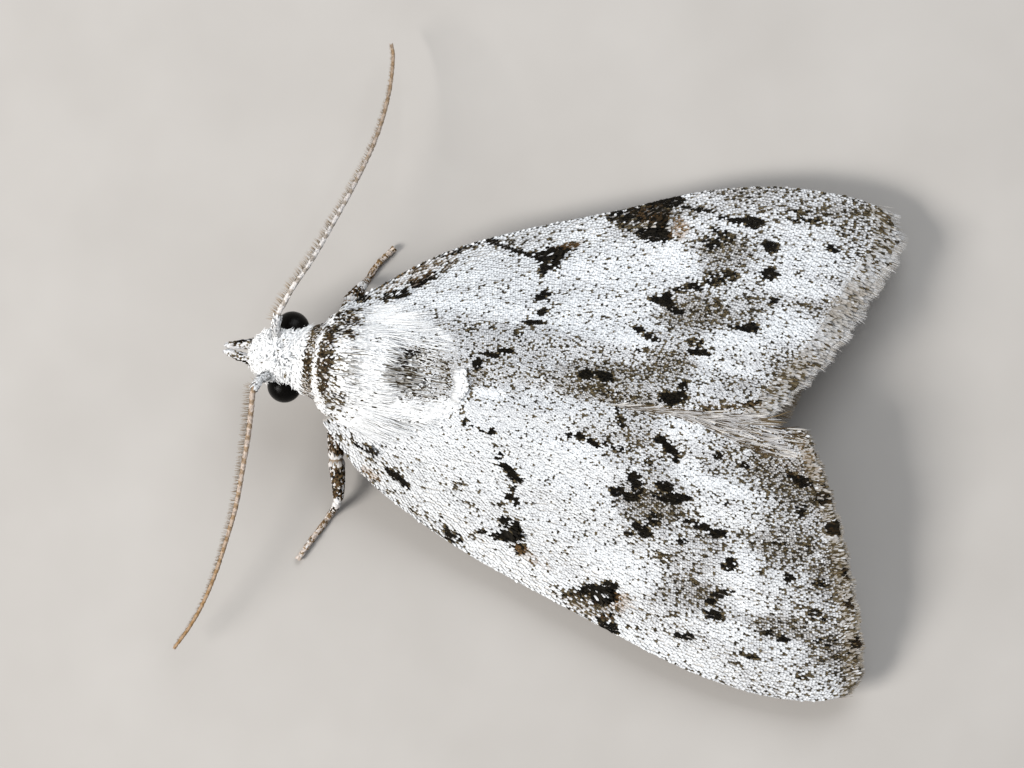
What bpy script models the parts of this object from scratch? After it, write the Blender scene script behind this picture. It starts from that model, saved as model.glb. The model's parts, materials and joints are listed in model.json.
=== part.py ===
"""A small white tufted moth at rest, life size, as separate solid parts for Blender 4.5.

The moth stands on the floor at z = 0. Its head points to -Y, its tail to +Y and its left side
to +X. The two forewings make a shallow roof over the body. Every size below is in millimetres.
"""
import math

import bmesh
import bpy
from mathutils import Matrix, Vector

METRES = 0.001                # metres in one millimetre

# ---- thicknesses and clearances -------------------------------------------------------------
GAP = 0.05                    # air between two neighbouring solids
SHEET = 0.5                   # thickness of a folded wing, scales and all
FOOT_SINK = 0.03              # how far a round foot is sunk in the floor before it is cut flat

# ---- the body: each station is (y, centre height, half width, half height) -------------------
HEAD = ((-4.95, 1.22, 0.10, 0.12), (-4.88, 1.22, 0.27, 0.31), (-4.70, 1.25, 0.41, 0.46),
        (-4.45, 1.29, 0.49, 0.54), (-4.21, 1.32, 0.45, 0.50))
COLLAR = ((-4.16, 1.34, 0.48, 0.52), (-4.00, 1.38, 0.60, 0.68), (-3.82, 1.42, 0.70, 0.76))
THORAX = ((-3.77, 1.42, 0.72, 0.78), (-3.35, 1.43, 0.87, 0.90), (-2.80, 1.43, 0.93, 0.96),
          (-2.25, 1.41, 0.86, 0.93), (-1.92, 1.40, 0.70, 0.84), (-1.75, 1.40, 0.50, 0.70))
ABDOMEN = ((-1.70, 1.06, 0.50, 0.50), (-1.10, 0.98, 0.60, 0.54), (0.00, 0.87, 0.60, 0.53),
           (1.00, 0.74, 0.56, 0.48), (2.00, 0.62, 0.46, 0.40), (2.70, 0.52, 0.32, 0.30),
           (3.05, 0.47, 0.18, 0.18), (3.20, 0.45, 0.06, 0.06))
PALPS = ((-5.45, 1.00, 0.09, 0.10), (-5.38, 1.00, 0.17, 0.19), (-5.15, 1.02, 0.23, 0.25),
         (-4.80, 1.08, 0.25, 0.26))
EYE_RADIUS = 0.28
EYE_CENTRE = (0.46, -4.31, 1.24)      # lateral, y, z of either eye

# ---- the roof that the folded forewings make ------------------------------------------------
RIDGE = ((-4.20, 1.90), (-2.60, 2.20), (-1.50, 2.22), (0.00, 2.06), (2.00, 1.82),
         (4.00, 1.57), (5.80, 1.36))  # (y, height of the roof's ridge)
EDGE_LOW = 0.56                       # height of the roof's lower edge, near the wing tip
EDGE_LIFT = 1.25                      # the edge is this much higher at the shoulder
EDGE_LIFT_LENGTH = 1.1                # and comes down over this length
SHOULDER_Y = -3.80
ROOF_ARCH = 1.6                       # 1 is a straight rafter, 2 a round arch
ROOF_FLAT = 0.25                      # half width of the flat strip along the ridge

# ---- planform of each forewing, lateral distance from the middle line ------------------------
COSTA = {                             # (y, half width) along the front edge, shoulder to tip
    "left": ((-3.85, 0.80), (-3.38, 1.27), (-2.93, 1.63), (-2.20, 2.12), (-1.00, 2.73),
             (0.50, 3.30), (2.00, 3.85), (3.00, 4.16), (4.00, 4.32), (4.85, 4.29), (5.42, 4.09)),
    "right": ((-3.60, 0.86), (-3.00, 1.32), (-2.43, 1.75), (-1.84, 2.11), (-0.90, 2.52),
              (0.60, 3.06), (1.80, 3.52), (2.80, 3.76), (3.70, 3.82), (4.50, 3.76), (5.15, 3.56))}
TERMEN = {                            # (lateral, y) along the rear edge, inner corner to tip
    "left": ((0.03, 4.12), (0.82, 4.58), (1.90, 5.05), (3.19, 5.48), (3.80, 5.57), (4.09, 5.42)),
    "right": ((0.03, 3.42), (0.54, 3.88), (1.26, 4.42), (2.39, 4.99), (3.10, 5.28), (3.56, 5.15))}
INNER_START_Y = -2.60                 # the inner margins leave the body here
FOREWING_GRID = (24, 12)              # cells along and across

# ---- planform of each hindwing, tucked under its forewing ------------------------------------
HINDWING_INNER = ((-2.25, 0.62), (-1.00, 0.70), (1.00, 0.68), (2.40, 0.60), (3.30, 0.30), (3.80, 0.12))
HINDWING_OUTER = ((-2.25, 0.98), (-1.00, 1.22), (0.00, 1.60), (1.00, 1.95), (2.00, 2.10),
                  (3.00, 1.95), (3.65, 1.30), (3.90, 0.60))
HINDWING_GRID = (16, 5)

# ---- feelers and legs: (lateral, y, z) of their joints, then a radius at each -----------------
ANTENNA = {
    "left": ((0.26, -4.52, 1.62), (0.45, -4.74, 1.72), (0.85, -4.83, 1.72), (1.49, -4.84, 1.58),
             (2.63, -4.89, 1.25), (3.71, -5.06, 0.92), (4.60, -5.42, 0.62), (4.91, -5.58, 0.52)),
    "right": ((0.28, -4.40, 1.62), (0.50, -4.58, 1.74), (0.77, -4.49, 1.80), (1.67, -4.04, 1.72),
              (2.90, -3.56, 1.38), (3.97, -3.33, 1.02), (4.75, -3.32, 0.72), (5.22, -3.40, 0.52))}
ANTENNA_RADIUS = (0.25, 0.22)         # at the root and at the tip
LEG_RADII = (0.27, 0.28, 0.25, 0.25, 0.25)
FOOT_Z = 0.25 - FOOT_SINK             # middle height of a foot that stands on the floor
LEGS = {
    "foreleg_left": ((0.36, -3.50, 0.75), (1.45, -3.35, 0.62), (2.15, -3.21, 0.42),
                     (2.50, -3.37, FOOT_Z), (3.20, -3.73, FOOT_Z)),
    "foreleg_right": ((0.36, -3.50, 0.75), (0.98, -3.62, 0.62), (1.26, -3.42, 0.38),
                      (1.45, -3.28, FOOT_Z), (1.95, -2.92, FOOT_Z)),
    "midleg_left": ((0.36, -2.80, 0.70), (1.14, -2.52, 0.58), (1.44, -1.85, 0.34),
                    (1.54, -1.55, FOOT_Z), (1.76, -0.70, FOOT_Z)),
    "midleg_right": ((0.36, -2.80, 0.70), (1.04, -2.50, 0.56), (1.30, -1.85, 0.32),
                     (1.38, -1.55, FOOT_Z), (1.62, -0.72, FOOT_Z)),
    "hindleg_left": ((0.36, -2.12, 0.68), (0.84, -1.50, 0.48), (0.86, -0.10, 0.30),
                     (0.90, 0.25, FOOT_Z), (1.16, 2.20, FOOT_Z)),
    "hindleg_right": ((0.36, -2.12, 0.68), (0.82, -1.50, 0.48), (0.84, -0.20, 0.30),
                      (0.88, 0.15, FOOT_Z), (1.10, 2.05, FOOT_Z))}

# ---- facets ----------------------------------------------------------------------------------
BODY_SIDES = 24
PALP_SIDES = 14
LEG_STEPS = 13                # points along a leg or a feeler
TUBE_BEVEL_RESOLUTION = 2     # eight sides

SIDES = {"left": 1.0, "right": -1.0}  # sign of x

# ---- colours: (red, green, blue), roughness ----------------------------------------------------
WHITE_SCALES = ((0.78, 0.77, 0.74), 0.75)
GREY_SCALES = ((0.62, 0.60, 0.57), 0.75)
PALE_BROWN = ((0.50, 0.43, 0.35), 0.7)
DARK_BROWN = ((0.10, 0.07, 0.05), 0.7)
BANDED_BROWN = ((0.36, 0.29, 0.22), 0.6)
EYE_BLACK = ((0.008, 0.008, 0.01), 0.12)


def clear_scene():
    """Remove whatever the start-up file holds."""
    for thing in list(bpy.data.objects):
        bpy.data.objects.remove(thing, do_unlink=True)


def material(name, finish):
    """A plain Principled material from (colour, roughness)."""
    colour, roughness = finish
    made = bpy.data.materials.new(name)
    made.use_nodes = True
    shader = made.node_tree.nodes["Principled BSDF"]
    shader.inputs["Base Color"].default_value = (*colour, 1.0)
    shader.inputs["Roughness"].default_value = roughness
    shader.inputs["Metallic"].default_value = 0.0
    return made


def add_object(name, mesh, finish=None):
    """Put a mesh in the scene; without a finish it is a cutter, which isn't a part."""
    for polygon in mesh.polygons:
        polygon.use_smooth = True
    mesh.set_sharp_from_angle(angle=math.radians(40))
    made = bpy.data.objects.new(name, mesh)
    bpy.context.scene.collection.objects.link(made)
    if finish is None:
        made.hide_render = True
        made.display_type = 'WIRE'
    else:
        mesh.materials.append(material(name, finish))
    return made


def cut(thing, cutter):
    """Take the cutter's shape away from a solid."""
    modifier = thing.modifiers.new("cut_" + cutter.name, 'BOOLEAN')
    modifier.operation = 'DIFFERENCE'
    modifier.solver = 'EXACT'
    modifier.object = cutter


def smooth_value(stations, at):
    """Value at one place on a smooth curve through (place, value) stations."""
    places = [station[0] for station in stations]
    values = [station[1] for station in stations]
    last = len(places) - 1
    at = min(max(at, places[0]), places[last])
    index = next((i for i in range(last) if at <= places[i + 1]), last - 1)

    def slope(i):
        before = max(i - 1, 0)
        after = min(i + 1, last)
        return (values[after] - values[before]) / (places[after] - places[before])

    span = places[index + 1] - places[index]
    t = (at - places[index]) / span
    return (values[index] * (1 + 2 * t) * (1 - t) ** 2 + values[index + 1] * t * t * (3 - 2 * t)
            + span * (slope(index) * t * (1 - t) ** 2 - slope(index + 1) * t * t * (1 - t)))


def along(points, fraction):
    """Point at a fraction of the length of a smooth curve through the given points."""
    lengths = [0.0]
    for before, after in zip(points, points[1:]):
        lengths.append(lengths[-1] + math.dist(before, after))
    at = fraction * lengths[-1]
    return tuple(smooth_value([(length, point[axis]) for length, point in zip(lengths, points)], at)
                 for axis in range(len(points[0])))


# ---- body --------------------------------------------------------------------------------------
def body_mesh(name, stations, sides, grow=0.0):
    """A closed loft along Y through oval sections, made larger all round by grow."""
    bm = bmesh.new()
    first, last = stations[0][0], stations[-1][0]
    rings = 2 * len(stations) - 1
    loops = []
    for ring in range(rings):
        fraction = ring / (rings - 1)
        y, centre, half_width, half_height = along(stations, fraction)
        y += grow * (2 * (y - first) / (last - first) - 1)
        made = bmesh.ops.create_circle(bm, segments=sides, radius=1.0)
        for vert in made["verts"]:
            vert.co = Vector(((half_width + grow) * vert.co.x, y,
                              centre + (half_height + grow) * vert.co.y)) * METRES
        loops.append({edge for vert in made["verts"] for edge in vert.link_edges})
    for before, after in zip(loops, loops[1:]):
        bmesh.ops.bridge_loops(bm, edges=list(before | after))
    bmesh.ops.holes_fill(bm, edges=bm.edges[:], sides=0)
    bmesh.ops.recalc_face_normals(bm, faces=bm.faces[:])
    mesh = bpy.data.meshes.new(name)
    bm.to_mesh(mesh)
    bm.free()
    return mesh


def ball_mesh(name, centre, radius):
    """A round ball for an eye."""
    bm = bmesh.new()
    middle = Vector(centre) * METRES
    bmesh.ops.create_icosphere(bm, subdivisions=3, radius=radius * METRES,
                               matrix=Matrix.Translation(middle))
    mesh = bpy.data.meshes.new(name)
    bm.to_mesh(mesh)
    bm.free()
    return mesh


def build_body():
    """Head, collar, thorax, abdomen and palps, and a slightly larger cutter of each."""
    cutters = {}
    for name, stations, sides, finish in (("head", HEAD, BODY_SIDES, WHITE_SCALES),
                                          ("collar", COLLAR, BODY_SIDES, WHITE_SCALES),
                                          ("thorax", THORAX, BODY_SIDES, WHITE_SCALES),
                                          ("abdomen", ABDOMEN, BODY_SIDES, GREY_SCALES),
                                          ("palps", PALPS, PALP_SIDES, DARK_BROWN)):
        add_object(name, body_mesh(name, stations, sides), finish)
        cutters[name] = add_object("cutter_" + name, body_mesh("cutter_" + name, stations, sides, GAP))
    for side, sign in SIDES.items():
        centre = (sign * EYE_CENTRE[0], EYE_CENTRE[1], EYE_CENTRE[2])
        add_object("eye_" + side, ball_mesh("eye_" + side, centre, EYE_RADIUS), EYE_BLACK)
        name = "cutter_eye_" + side
        cutters["eye_" + side] = add_object(name, ball_mesh(name, centre, EYE_RADIUS + GAP))
        cut(bpy.data.objects["head"], cutters["eye_" + side])
    cut(bpy.data.objects["palps"], cutters["head"])
    return cutters


# ---- wings ---------------------------------------------------------------------------------------
def roof_height(side, lateral, y):
    """Height of the forewings' upper face over a point of the floor."""
    ridge = smooth_value(RIDGE, y)
    edge = EDGE_LOW + EDGE_LIFT * math.exp(-(y - SHOULDER_Y) / EDGE_LIFT_LENGTH)
    out = max(abs(lateral) - ROOF_FLAT, 0.0)
    share = min(out / (smooth_value(COSTA[side], y) - ROOF_FLAT), 1.0)
    return ridge - (ridge - min(edge, ridge)) * share ** ROOF_ARCH


def roof_point(side, lateral, y, depth=0.0):
    """A point on the roof, or at a depth square under its upper face."""
    step = 0.01
    height = roof_height(side, lateral, y)
    rise_out = (roof_height(side, lateral + step, y) - height) / step
    rise_back = (roof_height(side, lateral, y + step) - height) / step
    normal = Vector((-rise_out, -rise_back, 1.0)).normalized()
    return Vector((lateral, y, height)) - normal * depth


def patch(inner, outer, front, rear, u, v):
    """A point inside four edge curves: u runs from front to rear, v from inner to outer."""
    across = (1 - v) * Vector(inner(u)) + v * Vector(outer(u))
    along_it = (1 - u) * Vector(front(v)) + u * Vector(rear(v))
    corners = ((1 - v) * ((1 - u) * Vector(inner(0)) + u * Vector(inner(1)))
               + v * ((1 - u) * Vector(outer(0)) + u * Vector(outer(1))))
    return across + along_it - corners


def forewing_plan(side, u, v):
    """(lateral, y) of a forewing at u along it and v across it."""
    costa = [(width, y) for y, width in COSTA[side]]
    tornus = TERMEN[side][0]
    root = (tornus[0], INNER_START_Y)
    return patch(lambda t: along((root, tornus), t), lambda t: along(costa, t),
                 lambda t: along((root, costa[0]), t), lambda t: along(TERMEN[side], t), u, v)


def hindwing_plan(side, u, v):
    """(lateral, y) of a hindwing, folded close along the abdomen."""
    inner = [(width, y) for y, width in HINDWING_INNER]
    outer = [(width, y) for y, width in HINDWING_OUTER]
    return Vector(along(inner, u)) * (1 - v) + Vector(along(outer, u)) * v


def wing_object(name, side, plan, grid, depth, finish):
    """A wing: a grid laid on the roof at a depth, then given its thickness downward."""
    bm = bmesh.new()
    cells_along, cells_across = grid
    bmesh.ops.create_grid(bm, x_segments=cells_along, y_segments=cells_across, size=0.5)
    sign = SIDES[side]
    for vert in bm.verts:
        lateral, y = plan(side, vert.co.x + 0.5, vert.co.y + 0.5)
        point = roof_point(side, lateral, y, depth)
        vert.co = Vector((sign * point.x, point.y, point.z)) * METRES
    if sign > 0:
        bmesh.ops.reverse_faces(bm, faces=bm.faces[:])
    mesh = bpy.data.meshes.new(name)
    bm.to_mesh(mesh)
    bm.free()
    wing = add_object(name, mesh, finish)
    solidify = wing.modifiers.new("thickness", 'SOLIDIFY')
    solidify.thickness = SHEET * METRES
    solidify.offset = -1.0
    return wing


def build_wings(cutters):
    """Both pairs of wings, cut clear of the body where they leave it."""
    for side in SIDES:
        forewing = wing_object("forewing_" + side, side, forewing_plan, FOREWING_GRID, 0.0,
                               WHITE_SCALES)
        hindwing = wing_object("hindwing_" + side, side, hindwing_plan, HINDWING_GRID,
                               SHEET + GAP, PALE_BROWN)
        for cutter in ("collar", "thorax"):
            cut(forewing, cutters[cutter])
        for cutter in ("thorax", "abdomen"):
            cut(hindwing, cutters[cutter])


# ---- feelers and legs --------------------------------------------------------------------------
def tube_mesh(name, joints, radii, sign):
    """A round limb along a smooth line through its joints, closed at both ends."""
    curve = bpy.data.curves.new(name + "_line", 'CURVE')
    curve.dimensions = '3D'
    curve.bevel_depth = METRES
    curve.bevel_resolution = TUBE_BEVEL_RESOLUTION
    curve.use_fill_caps = True
    spline = curve.splines.new('POLY')
    spline.points.add(LEG_STEPS - 1)
    stations = [(joint[0], joint[1], joint[2], radius) for joint, radius in zip(joints, radii)]
    for index, point in enumerate(spline.points):
        lateral, y, z, radius = along(stations, index / (LEG_STEPS - 1))
        point.co = (sign * lateral * METRES, y * METRES, z * METRES, 1.0)
        point.radius = radius * (0.7 if index == LEG_STEPS - 1 else 1.0)
    maker = bpy.data.objects.new(name + "_maker", curve)
    bpy.context.scene.collection.objects.link(maker)
    graph = bpy.context.evaluated_depsgraph_get()
    mesh = bpy.data.meshes.new_from_object(maker.evaluated_get(graph))
    mesh.name = name
    mesh.materials.clear()
    bpy.data.objects.remove(maker, do_unlink=True)
    bm = bmesh.new()
    bm.from_mesh(mesh)
    bmesh.ops.remove_doubles(bm, verts=bm.verts[:], dist=0.001 * METRES)
    bmesh.ops.recalc_face_normals(bm, faces=bm.faces[:])
    bm.to_mesh(mesh)
    bm.free()
    return mesh


def build_antennae(cutters):
    """Two feelers, each rooted between the top of the head and its eye."""
    for side, sign in SIDES.items():
        joints = ANTENNA[side]
        root, tip = ANTENNA_RADIUS
        radii = [root + (tip - root) * index / (len(joints) - 1) for index in range(len(joints))]
        name = "antenna_" + side
        antenna = add_object(name, tube_mesh(name, joints, radii, sign), BANDED_BROWN)
        cut(antenna, cutters["head"])
        cut(antenna, cutters["eye_" + side])


def build_legs(cutters):
    """Six legs, each with a foot that stands flat on the floor."""
    bm = bmesh.new()
    bmesh.ops.create_cube(bm, size=1.0, matrix=Matrix.Diagonal((20 * METRES, 20 * METRES, METRES, 1.0))
                          @ Matrix.Translation((0.0, 0.0, -0.5)))
    mesh = bpy.data.meshes.new("cutter_floor")
    bm.to_mesh(mesh)
    bm.free()
    floor = add_object("cutter_floor", mesh)
    for name, joints in LEGS.items():
        sign = SIDES[name.split("_")[1]]
        leg = add_object(name, tube_mesh(name, joints, LEG_RADII, sign), BANDED_BROWN)
        cut(leg, cutters["thorax"])
        cut(leg, floor)


clear_scene()
body_cutters = build_body()
build_wings(body_cutters)
build_antennae(body_cutters)
build_legs(body_cutters)
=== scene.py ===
# %% [markdown]
# # A small white moth at rest
# This lesson dresses a packed model of a moth about 11 mm long. The model gives the plain solids, and here
# they get what makes a moth look like one: a thin skin, and over it many thousands of scales, each one a
# tiny modelled plate or hair. All lengths are in millimetres, measured by the frame that the packed model
# gives, and only the finished meshes are in metres.

# %% The fixed frame
import json
import math

import bpy
import numpy as np
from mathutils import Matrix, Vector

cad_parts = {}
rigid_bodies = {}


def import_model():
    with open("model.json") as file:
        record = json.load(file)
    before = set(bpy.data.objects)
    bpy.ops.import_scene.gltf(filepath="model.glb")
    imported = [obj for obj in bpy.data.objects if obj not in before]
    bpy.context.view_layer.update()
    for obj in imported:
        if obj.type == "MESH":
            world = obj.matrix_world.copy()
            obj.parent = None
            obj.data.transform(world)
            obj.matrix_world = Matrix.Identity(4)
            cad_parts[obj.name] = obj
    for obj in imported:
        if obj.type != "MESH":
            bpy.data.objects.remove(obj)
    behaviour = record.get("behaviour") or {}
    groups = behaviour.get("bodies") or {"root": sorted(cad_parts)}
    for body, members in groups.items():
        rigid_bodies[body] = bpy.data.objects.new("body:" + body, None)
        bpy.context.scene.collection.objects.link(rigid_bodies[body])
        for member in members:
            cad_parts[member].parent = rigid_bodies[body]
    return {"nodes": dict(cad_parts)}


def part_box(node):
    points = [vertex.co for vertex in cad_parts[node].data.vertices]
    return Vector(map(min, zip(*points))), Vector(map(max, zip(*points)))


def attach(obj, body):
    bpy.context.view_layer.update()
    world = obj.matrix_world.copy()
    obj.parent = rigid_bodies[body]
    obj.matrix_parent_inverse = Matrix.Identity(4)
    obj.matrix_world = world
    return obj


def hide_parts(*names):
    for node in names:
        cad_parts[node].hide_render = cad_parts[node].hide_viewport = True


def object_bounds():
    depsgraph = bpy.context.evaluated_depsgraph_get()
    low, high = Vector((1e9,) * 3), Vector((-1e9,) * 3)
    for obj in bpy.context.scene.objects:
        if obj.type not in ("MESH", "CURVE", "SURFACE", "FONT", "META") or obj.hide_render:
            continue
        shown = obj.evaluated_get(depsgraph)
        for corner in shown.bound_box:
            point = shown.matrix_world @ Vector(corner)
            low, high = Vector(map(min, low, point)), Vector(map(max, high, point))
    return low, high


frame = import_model()
CAD_BOX = [list(corner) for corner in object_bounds()]
CAD_LENGTH = CAD_BOX[1][1] - CAD_BOX[0][1]
REAL_LENGTH = 11.29            # of the moth with its feelers
MM = CAD_LENGTH / REAL_LENGTH  # a millimetre in metres
SIDES = {"left": 1.0, "right": -1.0}       # the moth's left is +X, and its head points to -Y
UP = (0.0, 0.0, 1.0)
chance = np.random.default_rng(11)
draw, between, about = chance.random, chance.uniform, chance.normal
print("frame: %d nodes, %.2f mm long" % (len(frame["nodes"]), CAD_LENGTH / MM))

# %% [markdown]
# ## Tools of the trade: smooth curves
# A moth's outline bends gently everywhere. We give a curve a few points and let a cubic run
# smoothly through them. A fine table of the cubic is quick to look up for thousands of scales at once.

# %% Smooth curves through a few points
def columns(*values):
    """Values side by side as the columns of one table. Single numbers are repeated."""
    return np.stack(np.broadcast_arrays(*values), -1)


def smooth_table(stations, samples=600):
    """A function that gives the values of a smooth curve through (place, value, value...) stations."""
    place, value = np.split(np.array(stations, float), [1], axis=1)
    order = np.arange(len(place))
    before, after = np.maximum(order - 1, 0), np.minimum(order + 1, order[-1])
    slope = (value[after] - value[before]) / (place[after] - place[before])
    fine = np.linspace(place[0, 0], place[-1, 0], samples)
    left = np.clip(np.searchsorted(place[:, 0], fine, side="right") - 1, 0, len(place) - 2)
    span = place[left + 1] - place[left]
    t = (fine[:, None] - place[left]) / span
    read = (value[left] * (1 + 2 * t) * (1 - t) ** 2 + value[left + 1] * t * t * (3 - 2 * t)
            + span * (slope[left] * t * (1 - t) ** 2 - slope[left + 1] * t * t * (1 - t)))
    return lambda at: np.stack([np.interp(at, fine, column) for column in read.T], -1)


def along(points):
    """A function that gives the point at each fraction of a smooth curve through the given points."""
    points = np.array(points, float)
    steps = np.linalg.norm(np.diff(points, axis=0), axis=1)
    return smooth_table(np.column_stack([np.append(0.0, np.cumsum(steps)) / steps.sum(), points]))


def smoothstep(low, high, value):
    """0 below low, 1 above high and a soft slope between; low may be the larger."""
    t = np.clip((value - low) / (high - low), 0.0, 1.0)
    return t * t * (3 - 2 * t)


def unit(vectors):
    """The same directions, each one long."""
    return vectors / np.maximum(np.linalg.norm(vectors, axis=-1, keepdims=True), 1e-12)


print("halfway round a corner:", along(((0, 0), (1, 0), (1, 1)))(0.5))

# %% [markdown]
# ## Tools of the trade: writing a finish
# A material is a small network of nodes, and long chains of Math nodes are hard to read. So a socket is
# wrapped in a class that knows plus, minus and times, and each sum adds its node. Every other node comes
# from one method.

# %% A socket that can stand in a sum, and a finish being written
def sum_of(operation, swapped=False):
    """A method that adds one Math node."""
    def method(self, other):
        first, second = (other, self) if swapped else (self, other)
        return self.finish.node("ShaderNodeMath", {"operation": operation}, {0: first, 1: second})
    return method


class Reading:
    """A number or colour somewhere in a material's network."""
    __add__, __radd__ = sum_of("ADD"), sum_of("ADD", swapped=True)
    __sub__, __rsub__ = sum_of("SUBTRACT"), sum_of("SUBTRACT", swapped=True)
    __mul__, __rmul__ = sum_of("MULTIPLY"), sum_of("MULTIPLY", swapped=True)
    at_least, at_most = sum_of("MAXIMUM"), sum_of("MINIMUM")

    def __init__(self, finish, socket):
        self.finish = finish
        self.socket = socket

    def clamped(self, low=0.0, high=1.0):
        return self.at_least(low).at_most(high)


class Finish:
    """A material being written for one kind of surface."""

    def __init__(self, name):
        self.material = bpy.data.materials.new(name)
        self.material.use_nodes = True
        self.tree = self.material.node_tree
        self.shader = self.tree.nodes["Principled BSDF"]

    def node(self, kind, settings=None, sockets=None, result=0):
        """Any node: its settings are set first, then its sockets' values or links."""
        made = self.tree.nodes.new(kind)
        for key, value in (settings or {}).items():
            if key == "stops":
                while len(made.color_ramp.elements) < len(value):
                    made.color_ramp.elements.new(1.0)
                for element, (position, colour) in zip(made.color_ramp.elements, value):
                    element.position = position
                    element.color = (*colour, 1.0)
            else:
                setattr(made, key, value)
        for key, value in (sockets or {}).items():
            self.join(made.inputs[key], value)
        return Reading(self, made.outputs[result])

    def join(self, socket, value):
        if isinstance(value, Reading):
            self.tree.links.new(value.socket, socket)
        else:
            socket.default_value = value

    def set(self, **values):
        """Values or links of the main shader: base_color means its Base Color, and so on."""
        for key, value in values.items():
            self.join(self.shader.inputs[key.replace("_", " ").title().replace("Ior", "IOR")], value)

    def mix(self, first, second, share):
        """A colour between two colours."""
        return self.node("ShaderNodeMix", {"data_type": "RGBA"}, {0: share, 6: first, 7: second}, result=2)

    def place(self):
        return self.node("ShaderNodeTexCoord", result="Object")

    def noise(self, size, detail):
        """Cloudy noise whose blobs are about size across."""
        sockets = {"Vector": self.place(), "Scale": 1.0 / (size * MM), "Detail": detail}
        return self.node("ShaderNodeTexNoise", None, sockets, result="Fac")

    def ramp(self, share, *stops):
        return self.node("ShaderNodeValToRGB", {"stops": stops}, {"Fac": share})

    def coat(self, part):
        """What a scale carries: its tone in Red, its warmth in Green, and its painted shading in Blue, dark
        at the root and light on the crown and tip.
        """
        colour = self.node("ShaderNodeAttribute", {"attribute_name": "coat"}, result="Color")
        return self.node("ShaderNodeSeparateColor", None, {"Color": colour}, result=part)

    def own_chance(self):
        return self.node("ShaderNodeAttribute", {"attribute_name": "coat"}, result="Alpha")

    def bump(self, height, strength, distance):
        sockets = {"Strength": strength, "Distance": distance * MM, "Height": height}
        return self.node("ShaderNodeBump", None, sockets, result="Normal")


print("a finish is written with:", ", ".join(name for name in vars(Finish) if not name.startswith("_")))

# %% [markdown]
# ## The colours of scales
# A scale is one colour all over, apart from painted shade at its root and painted light on its crown. Its
# tone runs from 0, black-brown, through brown and grey to 1, white, and a second number warms it towards
# ochre. Both sit on the mesh as an attribute, so one finish serves every scale of a kind, and the markings
# are made by which scale is dark. Pigment scales are matt; white ones shine a little, because white is made
# by fine ridges and not by pigment.

# %% The scale finish
TONES = ((0.0, (0.002, 0.0015, 0.001)), (0.16, (0.034, 0.026, 0.014)), (0.36, (0.150, 0.116, 0.064)),
         (0.62, (0.40, 0.38, 0.35)), (0.82, (0.66, 0.67, 0.69)))
OCHRE = (0.34, 0.19, 0.075, 1.0)
BLACK = (0.0, 0.0, 0.0, 1.0)
DULL = 0.08                    # how little a scale mirrors


def scale_finish(name, white, root_shade):
    """Scales that run from black-brown to white by their own tone, and lie in shade at their roots."""
    finish = Finish(name)
    tone, own = finish.coat("Red"), finish.own_chance()
    colour = finish.mix(finish.ramp(tone, *TONES, (1.0, white)), OCHRE, finish.coat("Green"))
    # painted shade and light: each scale is darker towards its root, deepest for dark scales, and lighter on
    # its crown and tip
    base = root_shade * tone * tone * tone
    shade = (base + (1.12 - base) * finish.coat("Blue")).clamped() * (0.84 + 0.16 * own)
    grain = 0.93 + 0.14 * finish.noise(0.02, 2.0)
    finish.set(base_color=finish.mix(BLACK, colour, (shade * grain).clamped()),
               roughness=(0.6 + 0.25 * own - 0.1 * tone).clamped(0.2),
               normal=finish.bump(finish.noise(0.012, 1.0), 0.25, 0.002), specular_ior_level=DULL)
    return finish.material


WING_SCALES = scale_finish("wing_scales", (0.895, 0.915, 0.93), 0.38)
BODY_SCALES = scale_finish("body_scales", (0.91, 0.912, 0.905), 0.40)
FRINGE_SCALES = scale_finish("fringe_scales", (0.84, 0.81, 0.75), 0.55)
LEG_SCALES = scale_finish("leg_scales", (0.85, 0.82, 0.77), 0.6)
print("scale finishes: wing, body, fringe, leg")

# %% [markdown]
# ## The two shapes of a coat
# A cover scale is a low closed plate, narrow at its root and broad at its tip, with a slight crown. It
# starts as a cone with six sides, which is a fan of triangles on a flat base: ten triangles in all. A hair
# scale is a long thin blade with three sides, drawn out in three lengths so that it can bend. Both are
# one long and one wide, with the root at the origin, and are stretched when they are laid.

# %% Model the cover scale and the hair scale
def start(add, name, **settings):
    """Add a primitive with nothing else selected, and hand back its object."""
    bpy.ops.object.select_all(action='DESELECT')
    add(**settings)
    made = bpy.context.active_object
    made.name = made.data.name = name
    return made


def values(parts, key):
    """One value of every part of a mesh, as a table."""
    return np.array([getattr(part, key) for part in parts])


def edit_all():
    """Enter edit mode with all selected."""
    bpy.ops.object.mode_set(mode='EDIT')
    bpy.ops.mesh.select_all(action='SELECT')


def pick(piece, wanted):
    """Enter edit mode with only the vertices selected whose place passes a test."""
    bpy.ops.object.mode_set(mode='EDIT')
    bpy.ops.mesh.select_mode(type='VERT')
    bpy.ops.mesh.select_all(action='DESELECT')
    bpy.ops.object.mode_set(mode='OBJECT')
    for vertex in piece.data.vertices:
        vertex.select = bool(wanted(vertex.co))
    bpy.ops.object.mode_set(mode='EDIT')


def normals_out():
    """Turn all faces outwards and leave edit mode."""
    edit_all()
    bpy.ops.mesh.normals_make_consistent(inside=False)
    bpy.ops.object.mode_set(mode='OBJECT')


def shape_of(piece):
    """The vertices and triangles of a small finished shape, whose object is then done with."""
    normals_out()
    edit_all()
    bpy.ops.mesh.quads_convert_to_tris()
    bpy.ops.object.mode_set(mode='OBJECT')
    points = values(piece.data.vertices, "co")
    faces = values(piece.data.polygons, "vertices")
    bpy.data.objects.remove(piece, do_unlink=True)
    return points, faces


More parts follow.
